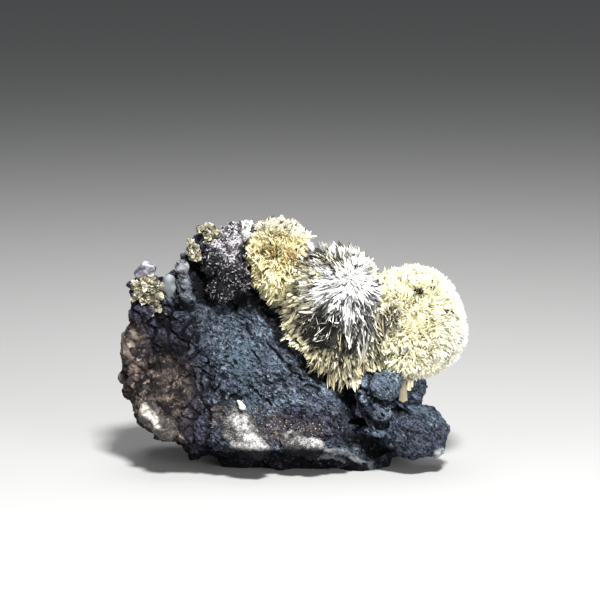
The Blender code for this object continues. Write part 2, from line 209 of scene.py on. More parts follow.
# Painted shade: the dark colour of blades' roots and edges, and the near-black of blades in shade.
CRYSTAL_ROOT_SHADE = (0.018, 0.017, 0.015)
CRYSTAL_SHADOW = (0.01, 0.01, 0.012)
GLOW_RADIUS = (1.0, 0.9, 0.7)


def rock_level(n, small):
    """How light each flake of the rock is, from 0 to 1: lighter on high relief and darker in low places as
    painted light and shade, and varied at random, with less contrast in some patches.
    """
    tiny, _ = n.flakes(0.36)
    level = n.plus(n.times(n.attribute("height"), 0.24), n.times(small, 0.3))
    level = n.plus(level, n.times(tiny, 0.46))
    calm = n.times(n.steps(n.noise(8.0, 2.0), 0.46, 0.6), 0.6)
    return n.plus(level, n.times(calm, n.minus(0.5, level)))


def slate_colour(n, level):
    """Blue slate, darker and lighter by flake, and dark purple where its number for that is 1: the rock's own
    tone, and painted shade on the lower front.
    """
    blue = n.mix(n.steps(n.noise(9.0, 3.0, 0.55), 0.4, 0.62), SLATE_PURPLE, SLATE)
    dusty = n.mix(n.steps(level, 0.28, 0.43), SLATE_DARK, blue)
    dusty = n.mix(n.times(n.steps(level, 0.54, 0.68), 0.9), dusty, SLATE_LIGHT)
    faces = n.plus(n.times(level, 0.45), n.times(n.noise(1.4, 3.0), 0.55))
    purple_and_shade = n.mix(n.steps(faces, 0.36, 0.58), PURPLE_DARK, PURPLE_GREY)
    purple_and_shade = n.mix(n.times(n.steps(level, 0.6, 0.76), 0.35), purple_and_shade, SLATE_LIGHT)
    return n.mix(n.attribute("purple_and_shade"), dusty, purple_and_shade)


def stain_colour(n, level):
    """Clouded brown, with more of the light tan where the blush number is 1."""
    cloud = n.noise(2.6, 5.0, 0.65)
    brown = n.mix(n.steps(cloud, 0.43, 0.6), TAN_DARK, TAN)
    brown = n.mix(n.steps(n.noise(1.7, 4.0, 0.65), 0.52, 0.72), brown, TAN_LIGHT)
    brown = n.mix(n.times(n.attribute("blush"), n.steps(cloud, 0.4, 0.55)), brown, TAN_LIGHT)
    return n.mix(n.times(n.steps(level, 0.46, 0.36), 0.6), brown, TAN_DARK)


def rock_material():
    """Slate-blue rock in small broken flakes, purplish at the left, clouded brown in places, with painted
    shade in its cracks, hollows and nicks and at the edges of flakes.
    """
    n = Nodes("slate_rock")
    small, small_edge = n.flakes(0.6, n.turned(ROCK_LEAN, (0.6, 1, 1.3)))
    level = rock_level(n, small)
    tan = n.attribute("tan")
    plain = n.minus(1.0, tan)
    colour = n.mix(tan, slate_colour(n, level), stain_colour(n, level))
    # Painted shade at the edges of flakes, in some places.
    flake_edge_shade = n.times(n.steps(small_edge, 0.5, 0.66), n.steps(n.noise(2.6, 2.0), 0.42, 0.56))
    colour = n.mix(n.times(n.times(flake_edge_shade, 0.85), plain), colour, BLACK)
    # Painted shade in short dashes along the grain, as in small nicks.
    nick_shade = n.steps(n.noise(0.8, 3.0, 0.7, n.turned(ROCK_LEAN, (0.42, 1, 1.5))), 0.428, 0.412)
    colour = n.mix(n.times(n.times(nick_shade, 0.93), plain), colour, BLACK)
    pale = n.mix(n.noise(0.9, 4.0, 0.7, n.turned(-0.2, (0.35, 1, 1.8))), PALE_DARK, PALE_LIGHT)
    colour = n.mix(n.attribute("pale"), colour, pale)
    # Painted shade: the crack number darkens cracks, nicks and hollows to black.
    colour = n.mix(n.attribute("crack"), colour, BLACK)
    n.bump(n.plus(level, n.noise(0.3, 3.0, 0.7)), 0.9, 0.28)
    return n.finish(colour, 0.85, Specular_IOR_Level=0.08)


def crystal_material(name, body, rim_body, tip, rim_tip, stain=(0.5, 0.26, 0.07), root=CRYSTAL_ROOT_SHADE,
                     edge=0.75, roughness=0.34, glow=0.0):
    """Striated blades, with painted shade at their roots and along their edges, pale at their tips and unlike
    their neighbours.

    The rim number mixes from body and tip to rim_body and rim_tip, stain to the colour of that name
    and shade to nearly black, as painted shade.
    """
    n = Nodes(name)
    along = n.attribute("along")
    tint = n.attribute("tint")
    rim = n.attribute("rim")
    body = n.mix(rim, body, rim_body)
    tip = n.mix(rim, tip, rim_tip)
    # Painted shade: each blade darkens towards its root.
    colour = n.mix(n.steps(along, 0.0, 0.45), root, body)
    colour = n.mix(n.steps(along, 0.7, 1.0), colour, tip)
    colour = n.mix(n.attribute("stain"), colour, stain)
    colour = n.mix(n.times(tint, 0.75), colour, body, "MULTIPLY")
    streaks = n.streaks(n.attribute("across"), tint, along)
    colour = n.mix(n.times(n.steps(streaks, 0.46, 0.34), 0.55), colour, root)
    # Painted shade along each blade's edges, as from the gap beside it.
    off_middle = n.math("ABSOLUTE", n.minus(n.attribute("across"), 0.5))
    edges = n.times(n.steps(off_middle, 0.32, 0.5), edge)
    edges = n.times(edges, n.plus(n.times(rim, 0.65), 0.35))
    colour = n.mix(edges, colour, root)
    shade = n.attribute("shade")
    colour = n.mix(shade, colour, CRYSTAL_SHADOW)
    n.bump(streaks, 0.5, 0.08)
    # Less specular sheen where a blade is painted dark as shade.
    n.link(n.times(n.minus(1.0, shade), 0.5), n.shader.inputs["Specular IOR Level"])
    n.shader.inputs["Subsurface Radius"].default_value = GLOW_RADIUS
    return n.finish(colour, roughness, Subsurface_Weight=glow, Subsurface_Scale=MM)


# ---------------------------------------------------------------- mesh helpers

def mesh_object(name, verts, faces, attributes, material):
    """A piece from points in millimetres, with a number for each point under each attribute's name."""
    mesh = bpy.data.meshes.new(name)
    mesh.from_pydata((np.asarray(verts) * MM).tolist(), [], faces)
    for label, values in attributes.items():
        layer = mesh.attributes.new(label, "FLOAT", "POINT")
        layer.data.foreach_set("value", np.asarray(values, np.float32))
    mesh.materials.append(material)
    mesh.validate()
    piece = bpy.data.objects.new(name, mesh)
    bpy.context.scene.collection.objects.link(piece)
    return piece


def unit(vectors):
    """Vectors scaled to length 1."""
    return vectors / np.linalg.norm(vectors, axis=-1, keepdims=True)


def square_to(along, vectors):
    """The part of each vector that is square to its direction along."""
    return vectors - along * (vectors * along).sum(1, keepdims=True)


BLADE_FACES = np.array([(0, 1, 5, 4), (1, 2, 6, 5), (2, 3, 7, 6), (3, 0, 4, 7), (3, 2, 1, 0)])
BLADE_TIP_FACES = np.array([(4, 5, 8), (5, 6, 8), (6, 7, 8), (7, 4, 8)])
BLADE_ROOT_GIRTH = 0.62
BLADE_SHOULDER = (0.55, 0.88)
BLADE_POINTS = 9
# How many of them take the number given for the root, and how many the tip's.
BLADE_END_POINTS = (4, 5)
# How far each of a blade's points is from its root to its tip, and from one edge to the other.
BLADE_ALONG = (0.0,) * 4 + (0.8,) * 4 + (1.0,)
BLADE_ACROSS = (1.0, 0.5, 0.0, 0.5) * 2 + (0.5,)


def rolled(along, rolls):
    """Directions square to each blade's axis, turned about it by the given angles."""
    helper = np.where(np.abs(along[:, 2:3]) < 0.9, [[0.0, 0.0, 1.0]], [[1.0, 0.0, 0.0]])
    side = unit(np.cross(along, helper))
    turn = rolls[:, None]
    return np.cos(turn) * side + np.sin(turn) * np.cross(along, side)


def blades(roots, tips, wide, widths, flatness, rng, shoulder_range):
    """Flat crystals with a rhombic section and an off-centre point, one from each root to its tip."""
    count = len(roots)
    along = unit(tips - roots)
    thin = np.cross(along, wide)
    half = (widths / 2)[:, None]
    verts = np.zeros((count, BLADE_POINTS, 3))
    shoulders = rng.uniform(*shoulder_range, (count, 1))
    for ring, (share, girth) in enumerate(((0.0, BLADE_ROOT_GIRTH), (shoulders, 1.0))):
        middle = roots + (tips - roots) * share
        for corner, offset in enumerate((wide, thin * flatness, -wide, -thin * flatness)):
            verts[:, ring * 4 + corner] = middle + offset * half * girth
    lean = rng.uniform(-0.6, 0.6, (count, 1))
    verts[:, 8] = tips + wide * half * lean
    start = (np.arange(count) * BLADE_POINTS)[:, None, None]
    faces = (BLADE_FACES[None] + start).reshape(-1, 4).tolist()
    faces += (BLADE_TIP_FACES[None] + start).reshape(-1, 3).tolist()
    return verts.reshape(-1, 3), faces


def for_each_point(value, count):
    """A number for each point of each blade, given one for all, one a blade, or one a root and one a tip."""
    value = np.asarray(value)
    if value.ndim == 2:
        return np.repeat(value, BLADE_END_POINTS, axis=1).ravel()
    return np.repeat(np.broadcast_to(value, (count,)), BLADE_POINTS)


class Crystals:
    """Gathers blades and other shapes, with the numbers that colour them, into one piece."""

    LABELS = ("along", "across", "tint", "shade", "rim", "stain")

    def __init__(self):
        self.verts = []
        self.faces = []
        self.values = {label: [] for label in self.LABELS}
        self.count = 0

    def add(self, verts, faces, **values):
        """Adds a shape, with a number for each of its points or one for all under each label."""
        self.faces += [[i + self.count for i in face] for face in faces]
        self.verts.append(np.asarray(verts))
        self.count += len(verts)
        for label in self.LABELS:
            given = values.get(label, 0.5 if label == "across" else 0.0)
            self.values[label].append(np.clip(np.broadcast_to(given, (len(verts),)), 0, 1))

    def add_blades(self, roots, tips, wide, widths, flatness, rng, shoulders=BLADE_SHOULDER, **values):
        verts, faces = blades(roots, tips, wide, widths, flatness, rng, shoulders)
        spread = {label: for_each_point(value, len(roots)) for label, value in values.items()}
        along = np.tile(BLADE_ALONG, len(roots))
        across = np.tile(BLADE_ACROSS, len(roots))
        self.add(verts, faces, along=along, across=across, **spread)

    def piece(self, name, node, material, slot):
        """Makes the piece, which stands for a CAD node and hides it. The slot is not used."""
        attributes = {label: np.concatenate(parts) for label, parts in self.values.items()}
        piece = mesh_object(name, np.concatenate(self.verts), self.faces, attributes, material)
        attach(piece, "root")
        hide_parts(node)


class Solid:
    """The surface of one or more CAD nodes, for telling what lies inside it or in view on it."""

    def __init__(self, *nodes):
        points, faces = [], []
        for node in nodes:
            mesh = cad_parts[node].data
            faces += [[i + len(points) for i in p.vertices] for p in mesh.polygons]
            points += [v.co / MM for v in mesh.vertices]
        self.tree = BVHTree.FromPolygons(points, faces)

    def seen(self, across, up):
        """The first point met on a line of sight, given by x and the height it appears at."""
        start = Vector((across, FRAMED_POINT[1], 0)) + VIEW_UP * up + VIEW_BACK * 200
        return self.tree.ray_cast(start, -VIEW_BACK)[0]

    def depth(self, point):
        """How far inside the solid a point is, or how far outside as a negative number."""
        nearest, normal, _, distance = self.tree.find_nearest(Vector(point))
        inside = (Vector(point) - nearest).dot(normal) < 0
        return distance if inside else -distance


ROCK = Solid("host_rock")


# ---------------------------------------------------------------- sprays

# From the frame that part.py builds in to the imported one.
SHIFT = np.array((-0.33, 0.92, 0.0))
DOME_SQUARENESS = 2.5
# How many blades stand side by side in a sheaf, and how far inside the rock a tip may lie.
SHEAF = 5
BURIED = 0.5
# How dark a blade painted dark as shade is, at least and at most, and how dark one is in a hollow's painted
# shade.
DARK = (0.82, 1.0)
GLOOM = 0.96


class Dome:
    """The rounded space that a spray's tips reach."""

    def __init__(self, centre, radii, lean):
        self.centre = np.array(centre) + SHIFT
        self.radii = np.array(radii)
        self.turn = np.array(Matrix.Rotation(math.radians(lean), 3, "Y"))

    def share(self, points):
        """How far out points are, as a share of the dome's radius."""
        local = (points - self.centre) @ self.turn / self.radii
        return (np.abs(local) ** DOME_SQUARENESS).sum(-1) ** (1 / DOME_SQUARENESS)

    def surface(self, count):
        """Points spread over the dome along a golden-angle spiral."""
        i = np.arange(count)
        z = 1 - 2 * (i + 0.5) / count
        r = np.sqrt(1 - z * z)
        d = np.stack([r * np.cos(i * GOLDEN_ANGLE), r * np.sin(i * GOLDEN_ANGLE), z], 1)
        d /= ((np.abs(d) ** DOME_SQUARENESS).sum(-1) ** (1 / DOME_SQUARENESS))[:, None]
        return self.centre + (d * self.radii) @ self.turn.T


DOMES = {
    "sunburst_spray": Dome((11.6, -8.0, 38.2), (13.8, 12.0, 19.4), -14),
    "honey_spray": Dome((-2.4, -3.5, 51.2), (9.6, 10.5, 12.2), -14),
    "cream_spray": Dome((29.0, -5.0, 36.2), (14.3, 12.5, 14.4), -20),
}


class Plan:
    """How a spray grows. Depths are shares of the dome's radius, and places are x and the height seen.

    nucleus, full_size_at: where the blades come from, and how far from it they are full grown
    length, width, flatness: of a blade at the nucleus and a full-grown one, and how thin for its width
    sites, scatter: how many sheaves a full dome has, and how far each strays from an even spread
    crowded_within, thinning, back_share: how they thin out past this distance, and behind
    rosettes...: smaller sprays inside the large one, each with a root of its own
    fill, groove..., tier..., clump..., ragged: how far out the highest tips are, and what sinks the rest
    lift, wander, jitter, fan: what turns a blade from the straight line out
    sheaf_spread, stagger: how far apart a sheaf's blades stand and end
    overlap: how near another spray's middle a blade may end, as a share of that spray's radius
    dark_sheaves, dark_blades: the shares of them that are painted nearly black, as painted shade in the gaps
    core, core_along: how large the core of packed roots is, and how pale
    pits, glooms, specks: places on the front that are sunk, painted dark as shade, or spotted, and how much
    shade_of, rim_of, stain_of: how much painted shade, how much rim colour and how much orange a blade has, by
    its tip and its distance
    fans: the sheaves of broad blades that lie over the rest, each from fan()
    """

    DEFAULTS = {
        "scatter": 0.3, "back_share": 0.5, "rosettes": 1, "rosette_depth": 0.3, "rosette_scatter": 0.0,
        "rosette_pull": 0.0, "rosette_round": 0.0, "tier_step": 0.0, "tier_depth": 0.0, "lift": 0.0,
        "jitter": 0.12, "overlap": 0.8, "dark_sheaves": 0.0, "core_along": 0.0, "specks": (),
        "shade_of": lambda tips, distance: 1.0, "stain_of": lambda tips, distance: 0.0,
    }

    def __init__(self, **given):
        for name, value in (self.DEFAULTS | given).items():
            setattr(self, name, value)


def clumps(points, size, seed):
    """A smooth random number from 0 to 1 for each point, alike for points this close."""
    offset = Vector((seed * 7.3, seed * 3.1, seed * 5.7))
    return np.array([noise.noise(Vector(p) / size + offset) * 0.5 + 0.5 for p in points])


def smooth_step(value, low, high):
    """0 below low, 1 above high, and a smooth rise between."""
    t = np.clip((value - low) / (high - low), 0, 1)
    return t * t * (3 - 2 * t)


def core(dome, share, count=500):
    """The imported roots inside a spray, as a hull of points."""
    bm = bmesh.new()
    for p in dome.centre + (dome.surface(count) - dome.centre) * share:
        bm.verts.new(p)
    bmesh.ops.convex_hull(bm, input=bm.verts)
    loose = [v for v in bm.verts if not v.link_faces]
    bmesh.ops.delete(bm, geom=loose, context="VERTS")
    bm.verts.index_update()
    verts = np.array([v.co for v in bm.verts])
    faces = [[v.index for v in f.verts] for f in bm.faces]
    bm.free()
    return verts, faces


def seen_height(points):
    """How high points appear from the camera's elevation, in millimetres above the framed point."""
    return points[:, 2] * VIEW_COS + (points[:, 1] - FRAMED_POINT[1]) * VIEW_SIN


def blob(points, centre, radii):
    """1 in the middle of a soft oval patch of the front, 0 outside it."""
    across = (points[:, 0] - centre[0]) / radii[0]
    up = (seen_height(points) - centre[1]) / radii[1]
    near = smooth_step(-points[:, 1], -FRONT_LIMIT, FRONT_LIMIT)
    return (1 - smooth_step(np.hypot(across, up), 0.45, 1.0)) * near


def grooves(points, nucleus, plan):
    """0 to 1 for how deep each point lies in a groove that runs away from the nucleus."""
    out = unit(points - nucleus)
    distance = np.linalg.norm(points - nucleus, axis=1)
    keys = out * plan.groove_count + (distance / plan.groove_length)[:, None]
    return smooth_step(clumps(keys, 1.0, plan.seed + 50), 0.45, 0.72)


def tiers(points, nucleus, plan):
    """0 at the raised tips of each ring of blades round the nucleus, 1 just past them."""
    if not plan.tier_step:
        return np.zeros(len(points))
    distance = np.linalg.norm(points - nucleus, axis=1)
    uneven = clumps(unit(points - nucleus) * 4.0, 1.0, plan.seed + 90) * 2.5
    ring = distance / plan.tier_step + uneven
    return (1 - np.mod(ring, 1.0)) * smooth_step(distance, 2.0, 5.0)


def spread_sites(plan, dome, nucleus, rng):
    """Places over the dome, one for each sheaf."""
    surface = dome.surface(plan.sites)
    surface += rng.normal(0, plan.scatter, surface.shape)
    chance = (plan.crowded_within / np.linalg.norm(surface - nucleus, axis=1)) ** plan.thinning
    behind = smooth_step(surface[:, 1] - dome.centre[1], 0, 6)
    chance = chance * (1 - (1 - plan.back_share) * behind)
    return surface[rng.random(len(surface)) < chance]


def join_rosettes(plan, dome, surface, rng):
    """For each place, the root of the nearest rosette and its crown on the dome."""
    centres = dome.centre + (dome.surface(plan.rosettes) - dome.centre) * plan.rosette_depth
    centres += rng.normal(0, plan.rosette_scatter, centres.shape)
    nearest = np.argmin(np.linalg.norm(surface[:, None] - centres[None], axis=2), axis=1)
    crowns = dome.centre + (centres - dome.centre) / dome.share(centres)[:, None]
    return centres[nearest], crowns[nearest]


def sunk(plan, surface, nucleus, crowns, rng):
    """How far below the dome the sheaf at each place ends."""
    sink = plan.groove_depth * grooves(surface, nucleus, plan)
    sink += plan.tier_depth * tiers(surface, nucleus, plan)
    sink += plan.clump_depth * clumps(surface, plan.clump_size, plan.seed)
    sink += plan.ragged * rng.random(len(surface)) ** 2
    sink += plan.rosette_round * smooth_step(np.linalg.norm(surface - crowns, axis=1), 0.8, 3.2)
    for centre, radii, depth in plan.pits:
        sink += depth * blob(surface, centre, radii)
    return sink


def sheaves(sites, out, plan, rng):
    """Several blades for each site, side by side and nearly parallel, of unlike lengths."""
    tips = np.repeat(sites, SHEAF, axis=0)
    out = np.repeat(out, SHEAF, axis=0)
    aside = square_to(out, rng.normal(0, plan.sheaf_spread, tips.shape))
    tips = tips + aside - out * np.abs(rng.normal(0, plan.stagger, (len(tips), 1)))
    out = unit(out + aside * plan.fan + rng.normal(0, plan.jitter, tips.shape))
    return tips, out, np.repeat(np.arange(len(sites)), SHEAF)


def in_the_open(tips, node, plan):
    """Which tips are in their own dome, outside the others and not deep in the rock."""
    keep = DOMES[node].share(tips) < 1.01
    for other, rival in DOMES.items():
        if other != node:
            keep &= rival.share(tips) > plan.overlap
    keep[keep] = [ROCK.depth(p) < BURIED for p in tips[keep]]
    return keep


def add_sheaves(crystals, node, plan, rng):
    """Thousands of blades from one nucleus out to the dome, in sheaves, with grooves between."""
    dome = DOMES[node]
    nucleus = np.array(plan.nucleus)
    surface = spread_sites(plan, dome, nucleus, rng)
    roots, crowns = join_rosettes(plan, dome, surface, rng)
    aims = nucleus + (roots - nucleus) * plan.rosette_pull
    sink = sunk(plan, surface, nucleus, crowns, rng)
    sites = dome.centre + (surface - dome.centre) * np.minimum(plan.fill - sink, 1.0)[:, None]
    out = unit(unit(sites - aims) + unit(surface - dome.centre) * plan.lift)
    grown = np.clip(np.linalg.norm(sites - nucleus, axis=1) / plan.full_size_at, 0.25, 1)
    wander = (plan.wander * grown * rng.random(len(out)))[:, None]
    out = unit(out + unit(rng.normal(0, 1, out.shape)) * wander)
    tips, out, sheaf = sheaves(sites, out, plan, rng)
    keep = in_the_open(tips, node, plan)
    tips, out, sheaf = tips[keep], out[keep], sheaf[keep]
    long, turned, dark, tinted, wide = rng.random((len(sites), 5))[sheaf].T
    distance = np.linalg.norm(tips - nucleus, axis=1)
    growth = np.clip(distance / plan.full_size_at, 0, 1)
    low, high = plan.length
    reach = out * ((low + (high - low) * growth) * (0.7 + 0.6 * long))[:, None]
    low, high = plan.width
    widths = (low + (high - low) * growth * wide) * rng.uniform(0.7, 1.3, len(tips))
    rolls = turned * math.pi + rng.normal(0, 0.25, len(tips))
    # Some sheaves and blades are painted nearly black, as painted shade in the gaps between blades.
    dark = (dark < plan.dark_sheaves) | (rng.random(len(tips)) < plan.dark_blades)
    shade = dark * rng.uniform(*DARK, len(tips)) * plan.shade_of(tips, distance)
    pick = rng.random(len(tips))
    ends = (tips - reach * 0.55, tips)
    crystals.add_blades(
        tips - reach, tips, rolled(out, rolls), widths, plan.flatness, rng,
        tint=0.6 * tinted + 0.4 * rng.random(len(tips)),
        shade=np.stack([np.maximum(shade, gloom(end, plan.glooms, pick)) for end in ends], 1),
        rim=plan.rim_of(tips, distance), stain=plan.stain_of(tips, distance),
    )


def spray(node, plan, surfaces, material, slot):
    """One spray: its sheaves, the fans and specks laid over them, and its core."""
    rng = np.random.default_rng(plan.seed)
    crystals = Crystals()
    add_sheaves(crystals, node, plan, rng)
    for fan_plan in plan.fans:
        add_fan(crystals, surfaces, rng, **{"glooms": plan.glooms, **fan_plan})
    for speck_plan in plan.specks:
        add_specks(crystals, DOMES[node], np.array(plan.nucleus), *speck_plan, rng)
    verts, faces = core(DOMES[node], plan.core)
    crystals.add(verts, faces, along=plan.core_along, rim=1.0)
    crystals.piece(node.replace("spray", "crystals"), node, material, slot)


def gloom(points, glooms, pick):
    """Painted shade for blades at the points given: in each oval patch of the front, a share is painted nearly
    black as a hollow's shade.
    """
    shade = np.zeros(len(points))
    for centre, radii, share in glooms:
        shade[pick < share * np.minimum(2 * blob(points, centre, radii), 1)] = GLOOM
    return shade


def fan_ends(surfaces, root, tip, raised):
    """A fan's root and tip in space, over the surface that shows there, or None past its edge."""
    root_seen = surfaces.seen(*root)
    if root_seen is None:
        return None
    root_point = np.array(root_seen) - np.array((0, raised, 0))
    tip_seen = surfaces.seen(*tip)
    tip_y = (tip_seen.y if tip_seen else root_point[1]) - raised
    tip_y = max(min(tip_y, root_point[1] + 2.5), root_point[1] - 1.5)
    tip_z = (tip[1] - (tip_y - FRAMED_POINT[1]) * VIEW_SIN) / VIEW_COS
    return root_point, np.array((tip[0], tip_y, tip_z))


def add_fan(crystals, surfaces, rng, root, tip, count, width, spread=0.5, raised=0.8, rim=0.8, shade=0.0,
            flatness=0.22, glooms=()):
    """A sheaf of broad blades lying over the surface, from one place in view to another."""
    ends = fan_ends(surfaces, root, tip, raised)
    if ends is None:
        return
    root_point, tip_point = ends
    out = unit(tip_point - root_point)
    reach = np.linalg.norm(tip_point - root_point)
    aside = rng.normal(0, 1, (count, 3)) * (spread, 0.35 * spread, spread)
    aside -= out * (aside @ out)[:, None]
    shortfall = np.abs(rng.normal(0, 0.3, (count, 1))) * reach
    shortfall[0] = 0
    aside[0] *= 0.2
    tips = tip_point + aside - out * shortfall
    roots = root_point + aside * 0.35 + rng.normal(0, 0.1, (count, 3))
    directions = unit(tips - roots)
    facing = unit(np.cross(directions, [[0.0, 1.0, 0.0]]) + rng.normal(0, 0.6, (count, 3)))
    facing = unit(square_to(directions, facing))
    shade = shade * rng.uniform(0.3, 1, count)
    pick = rng.random(count)
    crystals.add_blades(
        roots, tips, facing, rng.uniform(0.6, 1.2, count) * width, flatness, rng,
        tint=rng.random(count), rim=rim,
        shade=np.stack([np.maximum(shade, gloom(end, glooms, pick)) for end in (roots, tips)], 1),
    )


def add_specks(crystals, dome, nucleus, centre, radii, count, rng):
    """Small black grains caught between the tips, in an oval patch of the front."""
    surface = dome.surface(9000)
    near = np.flatnonzero(blob(surface, centre, radii) > 0.3)
    points = surface[rng.choice(near, count)]
    points = nucleus + (points - nucleus) * 1.012
    out = unit(points - nucleus)
    add_grains(crystals, points, out, (0.4, 0.75), (0.4, 0.8), 0.5, rng, tint=0.5, rim=0.0, shade=1.0)


def fan(root, tip, count=6, width=0.6, **more):
    """What add_fan needs for one fan."""
    return {"root": root, "tip": tip, "count": count, "width": width, **more}


def needles(centre, radii, count, nucleus, seed):
    """Thin bright blades, each on its own, crossing a hollow of a spray that is painted dark as shade, at odd
    angles.
    """
    rng = np.random.default_rng(seed)
    fans = []
    for _ in range(count):
        turn, out = rng.uniform(0, 2 * math.pi), math.sqrt(rng.random())
        middle = np.array(centre) + np.array(radii) * out * (math.cos(turn), math.sin(turn))
        away = unit(unit(middle - np.array(nucleus)) + rng.normal(0, 0.55, 2))
        half = away * rng.uniform(0.7, 2.2)
        fans.append(fan(
            tuple(middle - half), tuple(middle + half), count=1, width=rng.uniform(0.2, 0.4), spread=0.1,
            raised=rng.uniform(-0.8, 0.3), rim=rng.uniform(0.0, 0.5), glooms=(),
        ))
    return tuple(fans)


def rim_fans(edge, nucleus, insets, spacing, reach, seed, widths=(0.3, 0.7), **more):
    """Fans pointing away from the nucleus, their tips along an edge and along lines set in from it."""
    rng = np.random.default_rng(seed)
    edge = np.array(edge)
    walked = np.concatenate([[0], np.cumsum(np.linalg.norm(np.diff(edge, axis=0), axis=1))])
    fans = []
    for inset in insets:
        for at in np.arange(0, walked[-1], spacing):
            place = at + rng.uniform(0, spacing)
            tip = np.array([np.interp(place, walked, edge[:, axis]) for axis in (0, 1)])
            inward = unit(np.array(nucleus) - tip + rng.normal(0, 4.0, 2))
            tip = tip + inward * (inset + rng.uniform(-0.8, 0.8))
            root = tip + inward * reach * rng.uniform(0.7, 1.2)
            fans.append(fan(tuple(root), tuple(tip), width=rng.uniform(*widths), **more))
    return tuple(fans)


# Edges of sprays as seen, and the place that the sunburst's blades point away from.
SUNBURST_RIM = (
    (2.6, 54.5), (1.2, 50.0), (-1.5, 45.5), (-6.0, 41.2), (-2.6, 37.5), (-3.6, 33.0), (1.7, 29.5),
    (3.9, 27.0), (7.9, 24.0), (10.9, 22.8), (15.2, 19.8), (17.2, 23.0), (21.7, 25.7), (24.7, 26.8),
)
SUNBURST_TOP = ((7.0, 55.6), (10.5, 55.5), (14.7, 54.4), (17.3, 53.4), (19.0, 51.8), (22.3, 50.0))
SUNBURST_ROOT = (14.2, 47.5)
CREAM_TOP = ((19.5, 50.0), (22.5, 49.8), (25.0, 50.6), (28.5, 50.8))
CREAM_LEFT = ((19.4, 49.5), (20.0, 46.0), (21.6, 42.0), (22.6, 39.5))


def cream_plan():
    """A ball of short pale blades in many small rosettes, painted whiter at its right edge as painted light,
    with a pit painted dark as shade.
    """

    def rim_of(tips, distance):
        # Painted light: the yellow rim colour gives way to white towards the lit right edge.
        return 1 - smooth_step(tips[:, 0] - 0.3 * (tips[:, 2] - 36), 29, 46) * 0.85

    fans = rim_fans(CREAM_TOP, (25.0, 38.0), (0.0, 2.0, 4.0), 1.1, 3.0, 18, rim=1.0)
    fans += rim_fans(CREAM_LEFT, (29.0, 44.0), (0.0, 1.6), 0.9, 2.6, 19, rim=0.9)
    fans += (
        fan((28.6, 31.0), (24.8, 32.4), width=0.9), fan((28.4, 30.4), (24.4, 29.0), width=0.9),
        fan((28.8, 30.2), (26.0, 26.6), width=0.7), fan((29.4, 30.0), (29.6, 26.0), width=0.7),
        fan((29.6, 30.6), (33.0, 28.2), width=0.6), fan((26.6, 40.5), (24.6, 36.0), rim=0.2, width=0.7),
        fan((24.0, 33.0), (27.0, 37.5), rim=0.2), fan((23.6, 41.0), (26.6, 38.6), rim=0.3),
    )
    return Plan(
        nucleus=(28.7, -4.6, 36.2), seed=1, sites=3800, scatter=0.25, crowded_within=90.0, thinning=1.0,
        back_share=0.35, fill=1.03, full_size_at=12.0, length=(2.2, 3.2), width=(0.28, 0.48), flatness=0.5,
        rosettes=130, rosette_depth=0.72, rosette_scatter=0.9, rosette_pull=0.85, rosette_round=0.05,
        groove_count=8.0, groove_length=9.0, groove_depth=0.02, clump_depth=0.02, clump_size=1.5,
        ragged=0.028, wander=0.35, fan=0.3, sheaf_spread=0.32, stagger=0.15, dark_blades=0.01,
        core=0.74, core_along=0.22,
        pits=(((30.7, 44.0), (1.7, 1.0), 0.04), ((24.2, 37.2), (2.6, 4.6), 0.07)),
        glooms=(
            ((30.7, 44.0), (1.6, 1.0), 0.75), ((24.0, 37.2), (3.0, 5.0), 0.65),
            ((26.8, 28.5), (2.2, 1.6), 0.5),
        ),
        specks=(
            ((30.6, 44.1), (1.4, 0.8), 22), ((37.4, 39.3), (0.7, 0.6), 7), ((38.4, 38.7), (0.7, 0.6), 7),
            ((34.0, 46.2), (0.6, 0.6), 5), ((34.0, 44.8), (0.6, 0.6), 5), ((32.5, 36.9), (0.6, 0.6), 5),
            ((29.0, 41.0), (0.5, 0.5), 3), ((35.5, 33.0), (0.5, 0.5), 3), ((33.0, 40.5), (0.5, 0.5), 2),
        ),
        rim_of=rim_of, fans=fans,
    )


